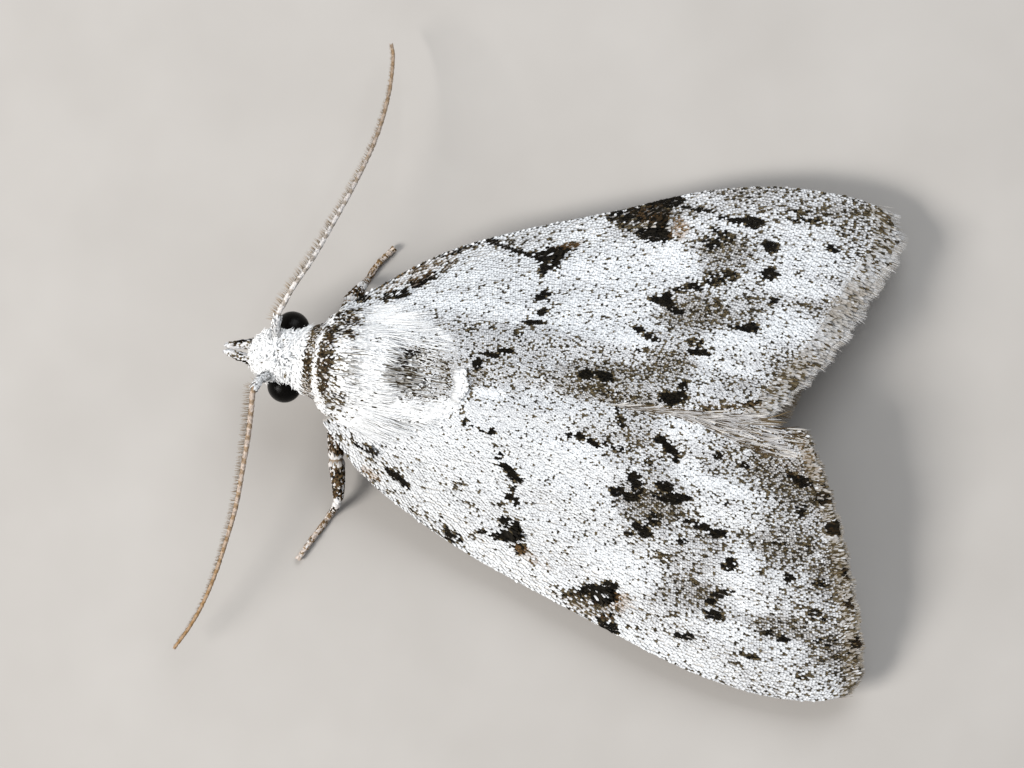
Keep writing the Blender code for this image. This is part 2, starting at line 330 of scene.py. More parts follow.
def cover_scale():
    """A plate one long and one wide, its rounded tip at +Y and its crown near the tip."""
    scale = start(bpy.ops.mesh.primitive_cone_add, "cover", vertices=6, radius1=0.5, radius2=0.0, depth=1.0,
                  end_fill_type='NGON', location=(0, 0.5, 0.5))
    bpy.ops.object.transform_apply()
    for low, high, grow in ((0.20, 0.30, (0.95, 1.6, 1.0)), (0.70, 0.80, (1.15, 1.15, 1.0))):
        pick(scale, lambda co: low < co.y < high)
        bpy.ops.transform.resize(value=grow, center_override=(0, 0, 0))
    pick(scale, lambda co: co.z > 0.5)
    bpy.ops.transform.translate(value=(0, 0.26, 0))
    points, faces = shape_of(scale)
    # last, its painted shading: dark at the root, light on the crown and tip
    return points, faces, 0.65 * points[:, 1] + 0.40 * points[:, 2]


def filled_ring(name, vertices, radius):
    """A filled circle that stands upright and faces along the moth, open for editing."""
    ring = start(bpy.ops.mesh.primitive_circle_add, name, vertices=vertices, radius=radius,
                 fill_type='NGON', rotation=(math.pi / 2, 0, 0), location=(0, 0, 0))
    bpy.ops.object.transform_apply()
    edit_all()
    return ring


def hair_scale():
    """A three-sided blade one long, drawn out in three lengths to a fine tip."""
    hair = filled_ring("hair", 3, 0.5)
    for place, grow in ((0.34, 1.15), (0.68, 0.85), (1.0, 0.22)):
        bpy.ops.mesh.extrude_region_move(TRANSFORM_OT_translate={"value": (0, 0.33, 0)})
        bpy.ops.transform.resize(value=(grow, 1.0, grow), center_override=(0, place, 0))
    points, faces = shape_of(hair)
    # last, its painted shading: darker towards the root
    return points, faces, np.clip(0.25 + points[:, 1], 0, 1)


COVER, HAIR = cover_scale(), hair_scale()
print("cover scale: %d triangles, hair scale: %d triangles" % (len(COVER[1]), len(HAIR[1])))

# %% [markdown]
# ## Laying a coat
# Laying means copying the shape to each root, turned along the lie of the coat, and joining all copies in
# one mesh. Numpy does it for all of them at once. Each copy carries its tone in the attribute that the
# finish reads. It also gets a small patch of the map OFBake at its root's place on the unrolled skin, so
# that its colours can be baked later. A finished piece is then dressed: it rides on the root body, and
# the solids it stands for are hidden.

# %% One joined mesh of many laid copies
PATCH = 0.003                  # how much of the unrolled skin's width one scale's patch takes
MARGIN = 0.004                 # kept free along the rim of the unrolled skin
SHARP = math.radians(75)


def dress(piece, slot, *nodes):
    """Put a finished piece on the root body and hide the solids it stands for. slot, where its finish comes
    from, is not used.
    """
    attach(piece, "root")
    if nodes:
        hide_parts(*nodes)


def carry(mesh, *coat):
    """Give a mesh's points what the finishes read: tone, warmth, painted shading from root to tip, own
    chance.
    """
    coat = np.broadcast_to(columns(*coat).reshape(-1, 4), (len(mesh.vertices), 4))
    carried = mesh.attributes.new("coat", 'FLOAT_COLOR', 'POINT')
    carried.data.foreach_set("color", coat.astype(np.float32).ravel())


def lay(name, slot, shape, finish, root, lie, out, length, width, thick, lift=0.0, droop=0.0, roll=0.0,
        sway=0.0, tone=1.0, warm=0.0, sheet=None):
    """A dressed piece of joined copies. lie and out are directions; lift, droop and sway are slopes."""
    points, faces, painted_shading = shape
    count = len(root)

    def each(value):
        return np.broadcast_to(np.asarray(value, float), (count,))[:, None]

    lie, out = unit(lie), unit(out)
    lie = unit(lie - out * (lie * out).sum(-1, keepdims=True))
    across, turn = np.cross(lie, out), each(roll)
    across, out = across * np.cos(turn) + out * np.sin(turn), out * np.cos(turn) - across * np.sin(turn)
    x, y, z = points.T
    reach = y * each(length)
    rise = z * each(thick) + each(lift) * reach - each(droop) * reach * y
    side = x * each(width) + each(sway) * reach * y
    place = (root[:, None] + lie[:, None] * reach[..., None] + across[:, None] * side[..., None]
             + out[:, None] * rise[..., None])
    mesh = bpy.data.meshes.new(name)
    all_faces = (faces + (np.arange(count) * len(points))[:, None, None]).reshape(-1, 3)
    mesh.from_pydata(place.reshape(-1, 3) * MM, [], all_faces)
    carry(mesh, each(tone), each(warm), painted_shading, draw(count)[:, None])
    sheet = draw((count, 2)) if sheet is None else columns(*sheet)
    patch = columns(x, y - 0.5) * PATCH + np.clip(sheet, MARGIN, 1 - MARGIN)[:, None, :]
    unrolled = mesh.uv_layers.new(name="OFBake")
    unrolled.data.foreach_set("uv", patch.reshape(-1, 2)[all_faces.ravel()].astype(np.float32).ravel())
    mesh.shade_smooth()
    mesh.set_sharp_from_angle(angle=SHARP)
    mesh.materials.append(finish)
    piece = bpy.data.objects.new(name, mesh)
    bpy.context.scene.collection.objects.link(piece)
    dress(piece, slot)
    print("%s: %d copies, %d triangles" % (name, count, len(all_faces)))


print("one patch is %.1f%% of the unrolled skin's width" % (100 * PATCH))

# %% [markdown]
# ## The body's measure
# The body's skin is round in section. A few stations from forehead to tail give its middle, half width
# and half height. The wings need to know how high the body stands, so that no wing scale grows inside
# it, and the body's coat needs the same surface later.

# %% Stations of the body
# y, height of the middle, half width, half height
BODY = ((-4.86, 1.22, .1, .12), (-4.8, 1.22, .22, .26), (-4.66, 1.25, .34, .38), (-4.45, 1.29, .41, .45),
        (-4.24, 1.32, .42, .44), (-4.12, 1.34, .45, .47), (-3.98, 1.38, .52, .57), (-3.78, 1.42, .61, .66),
        (-3.4, 1.43, .76, .78), (-2.8, 1.43, .82, .84), (-2.25, 1.41, .75, .8), (-1.92, 1.36, .6, .68),
        (-1.7, 1.22, .48, .52), (-1.5, 1.08, .46, .44), (-1.1, .98, .53, .46), (0, .87, .53, .46),
        (1, .74, .49, .41), (2, .62, .4, .34), (2.7, .52, .27, .25), (2.95, .48, .14, .14))
BODY_AT = smooth_table(BODY)


def body_top(place):
    """Height of the body's upper skin over places; far below it beside the body."""
    x, y = place[:, 0], place[:, 1]
    centre, half_width, half_height = BODY_AT(y).T
    inside = 1.0 - (x / half_width) ** 2
    outside = (inside <= 0) | (y < BODY[0][0]) | (y > BODY[-1][0])
    return np.where(outside, -1.0, centre + half_height * np.sqrt(np.maximum(inside, 0.0)))


print("the thorax is %.2f mm wide" % (2 * max(half_width for _, _, half_width, _ in BODY)))

# %% [markdown]
# ## The roof of the forewings
# At rest the two forewings make a low roof: a flat ridge over the body, then a rafter that arches down to
# the front edge near the floor. The planform is a patch between four edge curves. Every point of a wing
# has two numbers: u runs from the shoulder to the fringe and v from the inner edge to the front edge.
# The numbers repeat the solids' own. The skin lies under the solids' upper face by the coat's depth, with
# faint folds along the veins.

# %% The roof and the planform
RIDGE = smooth_table(((-4.2, 1.9), (-2.6, 2.2), (-1.5, 2.22), (0, 2.06), (2, 1.82), (4, 1.57), (5.8, 1.36)))
COSTA = {                      # the front edge from shoulder to tip, as (lateral, y)
    "left": ((.92, -3.62), (1.17, -3.38), (1.63, -2.93), (2.12, -2.2), (2.73, -1), (3.3, .5), (3.85, 2),
             (4.16, 3), (4.32, 4), (4.29, 4.85), (4.09, 5.42)),
    "right": ((.86, -3.6), (1.32, -3), (1.75, -2.43), (2.11, -1.84), (2.52, -.9), (3.06, .6), (3.52, 1.8),
              (3.76, 2.8), (3.82, 3.7), (3.76, 4.5), (3.56, 5.15))}
TERMEN = {                     # the rear edge; the right wing's inner edge lies a little over the left one
    "left": ((.03, 4.12), (.82, 4.58), (1.9, 5.05), (3.19, 5.48), (3.8, 5.57), (4.09, 5.42)),
    "right": ((-.05, 3.42), (.54, 3.88), (1.26, 4.42), (2.39, 4.99), (3.1, 5.28), (3.56, 5.15))}
EDGE_LOW, EDGE_LIFT, EDGE_LIFT_LENGTH, SHOULDER_Y = 0.56, 1.25, 1.1, -3.80
ROOF_ARCH, ROOF_FLAT, INNER_START_Y = 1.6, 0.25, -2.60
COAT_DEPTH = 0.06              # the skin lies this far under the solids' upper face
VEIN_FOLD, VEIN_FAN = 0.028, 46.0          # height of the faint folds along the veins, and how many fan out
FRINGE = {"left": 0.38, "right": 0.60}     # length of the fringe past the skin's edge
STEP = 0.02                    # between two readings of the roof's height for its slope
COSTA_WIDTH = {side: smooth_table([(y, width) for width, y in COSTA[side]]) for side in SIDES}


def edges(side):
    """The inner, front, shoulder and rear edge curves of a forewing."""
    inner_start = (TERMEN[side][0][0], INNER_START_Y)
    return [along(points) for points in ((inner_start, TERMEN[side][0]), COSTA[side],
                                         (inner_start, COSTA[side][0]), TERMEN[side])]


EDGES = {side: edges(side) for side in SIDES}


def vein_wave(lateral, y):
    """1 on the crests of the folds, which fan out from the shoulder, and -1 in the valleys."""
    return np.cos(VEIN_FAN * np.arctan2(lateral - 0.3, y + 4.2))


def roof_height(side, lateral, y, depth):
    """Height over the floor at a depth under the solids' upper face."""
    ridge = RIDGE(y)[..., 0]
    edge = np.minimum(EDGE_LOW + EDGE_LIFT * np.exp(-(y - SHOULDER_Y) / EDGE_LIFT_LENGTH), ridge)
    share = np.maximum(np.abs(lateral) - ROOF_FLAT, 0) / (COSTA_WIDTH[side](y)[..., 0] - ROOF_FLAT)
    fold = VEIN_FOLD * (vein_wave(lateral, y) - 1.0) * smoothstep(1.5, 5.0, np.hypot(lateral, y + 4.0))
    return ridge - (ridge - edge) * np.minimum(share, 1.0) ** ROOF_ARCH - depth + fold


def plan(side, u, v):
    """(lateral, y) at u along a forewing and v across it."""
    inner, outer, front, rear = EDGES[side]
    s, t = u[..., None], v[..., None]
    corners = (1 - t) * ((1 - s) * inner(0.0) + s * inner(1.0)) + t * ((1 - s) * outer(0.0) + s * outer(1.0))
    return (1 - t) * inner(u) + t * outer(u) + (1 - s) * front(v) + s * rear(v) - corners


def on_roof(side, spot, depth=COAT_DEPTH):
    """Places and outward directions at (lateral, y) spots."""
    lateral, y = spot[..., 0], spot[..., 1]
    height = roof_height(side, lateral, y, depth)
    rise_out = (roof_height(side, lateral + STEP, y, depth) - height) / STEP
    rise_back = (roof_height(side, lateral, y + STEP, depth) - height) / STEP
    sign = SIDES[side]
    return columns(sign * lateral, y, height), unit(columns(-sign * rise_out, -rise_back, 1.0))


def fringe_start(side, v):
    """How far along the wing the skin ends and the fringe begins."""
    front, rear = plan(side, np.zeros_like(v), v), plan(side, np.ones_like(v), v)
    return 1.0 - FRINGE[side] / np.linalg.norm(rear - front, axis=-1)


print("wing from shoulder to tip: %.2f mm" % math.dist(COSTA["left"][0], COSTA["left"][-1]))

# %% [markdown]
# ## The markings
# The ground is white with a fine pepper of dark scales in rows. Over it lie the markings of the species:
# three raised tufts on the front edge, a broken dark line across the first third, blotches in the middle
# and a row of dots before the fringe. Each mark is an oval: where it lies, half its length and half its
# width, how many of the scales in it are dark, and how far it is turned, if it is. Broad bands of thin
# speckle, streaks of painted highlight, dusky zones, some of them partly painted shade, and ochre edges
# are given the same way. Chance gives each oval a ragged edge, scale by scale, as on the living wing.

# %% Where the scales are dark
# y, lateral, half length along the wing, half width across it, share of dark, turn outwards in degrees
MARKS = {"left": (
    # root and front edge
    (-3.56, .86, .13, .07, .75, 10), (-3.27, 1.12, .11, .05, .65, 25), (-2.89, 1.22, .18, .05, .9, 20),
    (-2.74, 1.41, .11, .05, .5, 25), (-2.32, 1.62, .24, .07, .95, 35), (-2.72, 1.64, .15, .05, .4, 32),
    (-1.95, 2.12, .7, .07, .3, 29), (-1.32, 2.45, .22, .09, .8, 30), (-.98, 2.42, .12, .03, .5, 10),
    # first line
    (-1.45, .44, .06, .07, .6), (-1.34, .62, .08, .05, .85), (-1.18, .68, .15, .03, .75, 20),
    (-.92, .72, .07, .05, 1), (-.76, 1.08, .06, .07, .8), (-.83, .95, .04, .05, .6),
    # (-1.33, .16) is no marking but the painted shadow behind the rear tuft
    (-1.33, .16, .04, .2, .5), (-.61, 1.23, .13, .05, 1, 8), (-.5, 1.34, .1, .07, 1, 25),
    (-.39, 1.39, .07, .06, 1), (-.45, 1.55, .05, .08, .8), (-.47, 1.7, .09, .05, 1),
    (-.36, 1.78, .05, .07, .8), (-.55, 1.82, .09, .05, .6), (-.5, 1.95, .05, .06, .7),
    (-1.28, 1.64, .2, .08, .28, 5),
    # middle tuft
    (-.5, 2.1, .1, .1, .9), (-.33, 2.16, .09, .1, 1), (-.4, 2.31, .2, .12, 1, 20), (-.62, 2.35, .14, .05, .9),
    (-.85, 2.31, .09, .045, 1), (-.22, 2.5, .14, .08, .9, 35), (-.02, 2.6, .2, .06, .35, 35),
    (.22, 2.72, .12, .05, .3, 20),
    # third tuft and the tooth on the edge
    (.95, 2.98, .14, .06, 1), (1.16, 2.95, .28, .07, 1, -8), (1.32, 2.88, .15, .06, 1),
    (1.18, 3.1, .18, .12, 1), (.72, 3.14, .3, .09, .7, 10), (1.02, 3.26, .45, .17, .52, 12),
    (.95, 3.05, .2, .06, .9), (1.34, 3.02, .12, .1, 1), (1.4, 3.56, .15, .11, 1, 20),
    (1.5, 3.12, .14, .12, .45), (1.3, 3.42, .16, .1, .8), (1.8, 3.52, .32, .03, .55),
    (2.25, 3.48, .2, .04, .4), (2.62, 3.53, .2, .05, 1, -5),
    # blotches of the middle
    (.3, .6, .06, .04, 1), (.5, .6, .11, .06, .95), (.7, .67, .13, .05, 1, 25), (.22, .66, .12, .06, .4),
    (1.03, .1, .07, .08, .8), (1.1, .3, .07, .1, .75), (1.9, .57, .2, .07, 1, 30), (2.06, .73, .07, .07, 1),
    (1.76, .48, .07, .07, 1), (1.1, .7, .26, .05, .75, 8), (1.6, .88, .13, .06, .7),
    (1.42, 1.12, .1, .12, .95), (1.2, 1.38, .13, .08, 1, -10), (1.45, 1.44, .13, .08, 1, 15),
    (1.52, 1.26, .1, .1, .85), (1.95, 1.2, .15, .08, .95, 20), (2.12, 1.36, .2, .1, 1, -5),
    (2.32, 1.33, .08, .035, 1), (1.85, 1.36, .09, .06, .85), (1.75, 1.98, .11, .06, 1),
    (1.64, 1.9, .16, .08, .9, 20), (1.86, 1.74, .11, .12, .85), (1.5, 2.02, .09, .06, .8),
    (2.4, 1.7, .1, .04, 1), (2.65, 1.76, .15, .07, .9, 10), (2.88, 1.83, .16, .07, 1, 5),
    (2.35, 2.02, .09, .06, .85), (2.1, 2.32, .15, .1, .55), (2.97, 1.33, .05, .03, .8),
    (2.5, 2.86, .42, .09, .45),
    # dots before the fringe, and the brown clumps on it
    (3.15, 2.3, .13, .11, .85), (3.09, 2.76, .15, .07, 1, -20), (2.93, 2.92, .08, .07, .9),
    (3.03, 3.13, .17, .07, 1, 12), (3.62, 3.7, .22, .06, .75, 8), (3.5, 3.88, .1, .04, .65),
    (2.7, .6, .08, .06, .85), (3.15, .7, .11, .05, .85), (3.05, .48, .12, .08, .5),
    (4.1, .83, .16, .09, .95, 15), (4.15, 1.3, .12, .11, .8), (3.9, .74, .06, .04, .9),
    (4.42, 1.08, .16, .14, .7), (4.72, 1.52, .18, .12, .8), (3.84, 1.87, .16, .05, .8),
    (3.6, 1.1, .11, .11, .55), (4.35, 1.8, .18, .06, .6), (5.06, 2.2, .13, .12, .95),
    (4.15, 2.38, .12, .06, .95), (4.62, 2.42, .12, .08, .75), (3.7, 2.36, .09, .06, .6),
    (5.22, 2.66, .13, .11, .9), (4.66, 2.92, .17, .1, .7, 10), (4.28, 2.86, .11, .06, .6),
    (3.9, 3.3, .16, .05, .8, 10), (4.2, 3.36, .12, .06, .9), (4.82, 3.36, .26, .12, .65),
    (5.36, 3.3, .16, .09, .75), (4.6, 3.92, .17, .08, .55), (3.4, .42, .35, .14, .55, 5)), "right": (
    # root and front edge
    (-3.22, 1.06, .1, .06, .9, 15), (-2.76, 1.17, .2, .07, .85, 18), (-2.3, 1.5, .3, .07, .95, 33),
    (-2.47, 1.71, .22, .05, .9, 38), (-2.85, 1.42, .22, .05, .6, 38), (-2.3, 1.64, .75, .16, .38, 34),
    (-1.8, 2.08, .45, .06, .7, 33), (-1.52, 2.22, .3, .07, .6, 30), (-1.32, 2.28, .13, .06, 1),
    (-1.05, 2.19, .34, .035, 1, -12), (-1.08, 2.34, .12, .06, .5, 25), (-.8, 2.14, .14, .04, 1, -5),
    # middle tuft
    (-.5, 2.13, .15, .1, 1), (-.3, 2.2, .2, .12, 1, 20), (-.46, 1.93, .08, .1, 1),
    (-.12, 2.33, .2, .07, .9, 22), (.05, 2.43, .14, .04, .4, 15), (-.34, 2.05, .15, .1, .9),
    # first line
    (-.45, 1.75, .05, .06, .5), (-.36, 1.57, .08, .05, 1), (-.45, 1.47, .13, .05, 1),
    (-.38, 1.26, .11, .05, 1, 28), (-.5, 1.07, .18, .04, 1, 8), (-.7, .87, .07, .08, .75),
    (-.88, .56, .14, .04, 1, 5), (-1.08, .47, .14, .04, .95, -5), (-1.27, .31, .09, .09, .95),
    (-1.38, .42, .07, .05, .7), (-1.2, .1, .2, .1, .35),
    # third tuft
    (1.4, 3.28, .28, .09, 1, 8), (1.52, 3.36, .13, .08, 1), (1.24, 2.74, .29, .12, 1),
    (1.12, 3.05, .36, .18, .92, 4), (.72, 2.98, .36, .11, .85, 14), (1.64, 2.92, .14, .17, .45),
    (1.26, 3, .12, .22, 1), (1.2, 3.24, .24, .07, 1, 16), (.85, 2.82, .28, .08, .7),
    (1.88, 3.24, .27, .03, 1, -2), (2.3, 3.15, .17, .04, .9), (2.7, 3.18, .25, .06, 1, 5),
    (2.78, 3.12, .12, .07, 1),
    # blotches of the middle
    (1.5, 1.7, .22, .07, 1), (1.56, 1.76, .1, .08, 1), (1.73, 1.58, .15, .06, .9, -5),
    (1.16, 1.2, .11, .06, 1), (1.36, 1.1, .16, .06, .8, -10), (2.15, .98, .2, .05, 1),
    (2.1, 1.14, .15, .11, .65), (1.98, 2, .14, .05, 1), (1.76, 1.92, .11, .06, .8),
    (2.36, 2.2, .3, .12, .75, 20), (2.26, 2.84, .24, .16, .75), (2.14, 2.67, .07, .04, 1),
    (2.87, 1.46, .22, .05, 1, 2), (2.98, 1.5, .09, .07, 1), (.45, .37, .13, .08, 1),
    (.74, .38, .16, .09, .95), (1.86, .21, .22, .11, 1, 10), (2, .38, .07, .13, .95),
    (1.3, .88, .16, .04, .7), (.65, .18, .3, .1, .6), (.2, .32, .1, .08, .4),
    # dots before the fringe
    (3.1, 2.82, .13, .11, 1), (3.12, 2.38, .14, .1, 1), (3.27, 1.98, .08, .05, 1), (3.12, 1.92, .18, .12, .4),
    (3.6, 3.33, .34, .06, .65, 5), (3.5, 3.46, .16, .04, .75, 10), (4.1, 2.94, .11, .06, .85),
    (3.82, 3.3, .14, .06, .7), (4.3, 3.46, .2, .05, .45), (4.45, 2.9, .22, .03, .6),
    (2.4, .12, .16, .05, .65, 5), (2.72, .18, .2, .06, .6, 12), (3.1, .29, .18, .05, .8, 18),
    (2.88, 1.96, .2, .14, .4))}
# the broad bands of thin speckle
BANDS = {"left": (
    (2, 1.62, .62, .75, .42, 10), (2.55, 2.16, .46, .26, .4), (1.7, .35, .75, .42, .36),
    (2.75, .62, .55, .3, .22, 5), (4.1, .95, .75, .62, .42), (4.15, 1.75, .85, .36, .34, 5),
    (4.45, 2.6, .9, .52, .3, 5), (4.7, 3.5, .75, .46, .32, 5), (2.4, 3.1, .5, .22, .28),
    (.8, .3, .5, .3, .26), (-.6, 2.75, 1.4, .2, .06, 30), (3.8, 4.1, .9, .14, .22, 5)), "right": (
    (2.05, 1.55, .55, .6, .42), (2.4, 2.7, .6, .42, .34), (1.2, .32, .95, .3, .5), (1.3, .8, .6, .3, .26),
    (2.75, 1.8, .55, .5, .3), (3.9, 3.5, 1.3, .22, .28, 5), (-.6, .55, 1.6, .6, .13),
    (2.8, .45, .8, .35, .13), (.3, 1.5, .6, .5, .07), (2.8, 3.6, 1.6, .14, .22, 6))}
# painted highlights: streaks where scales are whitest and few are dark
PAINTED_HIGHLIGHTS = {"left": (
    (-1, .12, .24, .09, 1), (2.8, 1.07, .75, .09, .9, 8), (2.95, 1.55, .55, .14, .8, 8),
    (3.34, 2.48, .24, .46, .85), (3.55, 2.86, .4, .16, .85, 5), (1.5, 2.6, .65, .3, .85, 12),
    (.3, 1.05, .7, .28, .75, 8), (2.25, 3.74, 1.3, .2, .8, 16), (4.25, 3.55, .26, .2, .8),
    (-1.6, 1.05, 1.1, .36, .6, 20), (.1, 2.95, 1.1, .26, .8, 24), (-1.4, 2.15, 1, .16, .6, 30),
    (2.28, .86, .2, .16, .9), (2.1, .25, .3, .16, .75), (3.3, 3.35, .35, .16, .8)), "right": (
    (-1.6, 1.22, .95, .14, .85), (.55, 1.06, .95, .1, .8, -4), (2.65, .82, .55, .09, .8, -8),
    (-1.7, 1.68, .45, .18, .9, 10), (.5, 2.02, .7, .22, .75, 8), (1.62, 2.34, .42, .2, 1, 6),
    (3.6, 2.92, .55, .36, .7), (3.7, 2.24, .6, .13, .8), (3.55, 1.62, .42, .24, .75),
    (2.85, 1.28, .45, .11, .75), (.2, 2.7, .6, .18, .6, 16), (1.95, 3.42, .4, .1, .6, 8))}
# the dusky zones, where most scales are grey-brown, with more dark ones among them; along the right wing's
# inner edge they are also painted shade
DUSK_AND_SHADE = {"left": (
    (3.95, .6, .75, .6, .95), (4.2, 1.3, .65, .6, 1, 10), (4.85, 2.3, .42, .75, .85, 15),
    (5.15, 3, .45, .75, .85, 10), (5.4, 3.7, .28, .5, .7), (3, .25, .7, .25, .7), (1.78, 1.45, .55, .58, .85),
    (2.62, 2.2, .48, .36, .75), (2.45, 2.88, .66, .3, .8), (1.4, .3, .45, .32, .75), (.8, .4, .35, .28, .45),
    (4, 1.85, .55, .4, .7), (4.25, 2.75, .5, .35, .55), (4.2, 3.2, .6, .22, .75, 5),
    (3.25, 1.55, .45, .3, .45), (1.15, .85, .3, .2, .5), (1.05, 3.28, .5, .22, .8, 12),
    (4.7, 3.6, .5, .4, .45), (2.75, .7, .4, .22, .45), (0, .2, 1.4, .18, .35),
    (-1.74, .1, .13, .2, .9)), "right": (
    # (-1.2, .48) and (.95, .28) along the inner edge are partly grey scales and partly painted shade
    (-1.7, .15, .16, .26, .9), (-1.25, .12, .14, .18, .9), (-1.2, .48, 1.3, .52, .62),
    (.95, .28, 1.2, .34, 1), (1.75, .85, .4, .42, .85), (2, 1.6, .55, .45, .85), (2.35, 2.5, .48, .45, .8),
    (3, .35, .7, .34, .75, 8), (3.7, .95, .4, .55, .65, 10), (4.2, 1.9, .35, .7, .6, 20),
    (2, 3.3, 1.1, .2, .6, 5), (3.4, 3.62, 1.7, .26, .8, 5), (4.6, 3.2, .5, .7, .5),
    (-.1, 2.7, 1.1, .18, .45, 25), (.2, .85, 1.1, .3, .5), (1, 3, .6, .34, .9, 10),
    (2.85, 1.75, .4, .4, .55))}
# the ochre edges behind the tufts
OCHRE_EDGES = {"left": (
    (-.08, 2.58, .24, .08, .45, 34), (.22, 2.7, .14, .07, .3, 20), (1.52, 3.12, .16, .14, .5),
    (1.05, 3.3, .4, .14, .2, 12), (-2.72, 1.64, .16, .07, .5, 32), (3.6, .3, .6, .22, .18, 5),
    (4.1, .45, .4, .35, .16)), "right": (
    (-.08, 2.38, .22, .06, .4, 20), (1.62, 2.9, .15, .16, .6), (1.2, 3.04, .3, .14, .2),
    (-2.4, 1.62, .6, .14, .3, 34), (2.7, .18, .6, .08, .15, 12))}
PEPPER = {"left": 0.10, "right": 0.12}     # share of dark scales on the plain ground


def ovals(marks, lateral, y):
    """The strongest of the ovals at each place, with a wavy rim."""
    strongest = np.zeros_like(lateral)
    wave = (0.11 * np.sin(23 * lateral + 11 * y) + 0.11 * np.sin(31 * y - 17 * lateral)
            + 0.09 * np.sin(61 * lateral + 47 * y))
    for y0, x0, half_long, half_wide, strength, *turn in marks:
        angle = math.radians(sum(turn))
        dx, dy = lateral - x0, y - y0
        lengthwise = (dx * math.sin(angle) + dy * math.cos(angle)) / half_long
        crosswise = (dx * math.cos(angle) - dy * math.sin(angle)) / half_wide
        reach = np.hypot(lengthwise, crosswise) + wave
        strongest = np.maximum(strongest, strength * smoothstep(1.48, 0.72, reach))
    return strongest


print("marks: %d on the left wing, %d on the right" % (len(MARKS["left"]), len(MARKS["right"])))

# %% [markdown]
# ## From a mark to single scales
# An oval says how many scales are dark there, not which. So each scale draws its own tone: black-brown
# where a mark is dense, brown where it is thin, and white or grey between. On the outer wing the folds
# along the veins get painted light on their crests and painted shade in their valleys, as fewer or more
# dark and grey scales.

# %% Drawing a tone for each scale
def wing_tones(side, spot):
    """For forewing spots: the share of dark scales, of grey scales, and how ochre they are."""
    lateral, y = spot[..., 0], spot[..., 1]
    marks, bands, highlight, dusk_and_shade, ochre = [ovals(table[side], lateral, y)
                                         for table in (MARKS, BANDS, PAINTED_HIGHLIGHTS, DUSK_AND_SHADE, OCHRE_EDGES)]
    # painted highlights thin out the dark and grey scales where they lie
    outer, clear = smoothstep(0.0, 4.5, y), 1 - 0.8 * highlight
    # painted light on the crests of the vein folds and painted shade in their valleys
    fold_shading = 1 - 0.30 * smoothstep(-1.0, 2.5, y) * vein_wave(lateral, y)
    speckle = fold_shading * np.maximum(PEPPER[side] * (0.8 + 0.8 * outer) + 0.20 * dusk_and_shade, 0.8 * bands)
    if side == "right":        # the rear corner of the right wing is plain grey, with few dark scales
        corner = 0.75 * smoothstep(3.6, 4.3, y) * smoothstep(2.9, 2.3, lateral)
        speckle, dusk_and_shade = speckle * (1 - corner), np.maximum(dusk_and_shade, corner)
    grey = fold_shading * np.maximum(0.16 + 0.25 * outer, 0.90 * dusk_and_shade) * clear
    return np.clip(np.maximum(marks, speckle * clear), 0, 1), np.clip(grey, 0, 0.95), ochre


def draw_tones(dark, grey, warm):
    """A tone and a warmth for each scale, drawn by chance from the shares."""
    dark, grey, warm = np.broadcast_arrays(dark, grey, warm)
    count = len(dark)
    is_dark = draw(count) < dark
    dense = smoothstep(0.50, 0.95, dark)
    pale = np.where(draw(count) < 0.10 * grey, 0.90, 0.96 - 0.27 * grey)
    pale = pale + between(-0.07, 0.07, count)
    brown = (0.14 - 0.08 * dense) + 0.24 * draw(count)
    black = 0.06 * draw(count)
    tone = np.where(is_dark, np.where(draw(count) < dense, black, brown), np.minimum(pale, 1.0))
    warm = warm * (0.5 + 0.5 * draw(count)) * (draw(count) < 0.3 + warm)
    return tone, np.clip(warm + 0.08 * grey * (1 - is_dark), 0, 0.9)


for side in SIDES:
    print("dark share in the middle of the %s wing: %.2f" % (side, wing_tones(side, np.array([2.0, 1.5]))[0]))

# %% [markdown]
# ## The wing skin
# Under the scales a wing is a dry double skin, a few hundredths of a millimetre thick, pale brown where
# it shows. We lay a grid on the roof and give it its thickness with a Solidify modifier. Thin sheets this
# close together would be hard to sculpt by hand, and a grid set by the roof's own rule fits exactly.

# %% The skin's finish and the forewing skins
SKIN_THICK = 0.03


def skin_finish(name, pale, dark):
    """Dry skin with faint cells, toned by the coat's own markings where it carries them."""
    finish = Finish(name)
    cells = finish.noise(0.05, 3.0)
    share = (finish.coat("Red") * 0.85 + 0.3 * cells).clamped()
    colour = finish.mix((*dark, 1.0), (*pale, 1.0), share)
    finish.set(base_color=finish.mix(colour, OCHRE, finish.coat("Green") * 0.6), roughness=0.5 + 0.3 * cells,
               normal=finish.bump(cells, 0.4, 0.004))
    return finish.material


def thin_sheet(kind, side, cells, where, finish, tones):
    """One side's wing skin: a grid laid by a rule, given its thickness and dressed."""
    name = "%s_%s_skin" % (kind, side)
    piece = start(bpy.ops.mesh.primitive_grid_add, name, x_subdivisions=cells[0], y_subdivisions=cells[1],
                  size=1)
    mesh = piece.data
    u, v, _ = values(mesh.vertices, "co").T + 0.5
    place, _ = where(side, u, v)
    mesh.vertices.foreach_set("co", (place * MM).astype(np.float32).ravel())
    carry(mesh, *tones(side, u, v), 1.0, 0.5)
    mesh.update()
    if values(mesh.polygons, "normal")[:, 2].mean() < 0:
        edit_all()
        bpy.ops.mesh.flip_normals()
        bpy.ops.object.mode_set(mode='OBJECT')
    wall = piece.modifiers.new("wall", 'SOLIDIFY')
    wall.thickness = SKIN_THICK * MM
    wall.offset = -1.0
    bpy.ops.object.modifier_apply(modifier="wall")
    bpy.ops.object.shade_smooth_by_angle(angle=math.radians(50))
    mesh.materials.append(finish)
    dress(piece, kind + "_scales", "%s_%s" % (kind, side))
    print("%s: %d faces" % (name, len(mesh.polygons)))


def forewing_spot(side, u, v):
    return plan(side, u * fringe_start(side, v), v)


def on_forewing(side, u, v):
    return on_roof(side, forewing_spot(side, u, v))


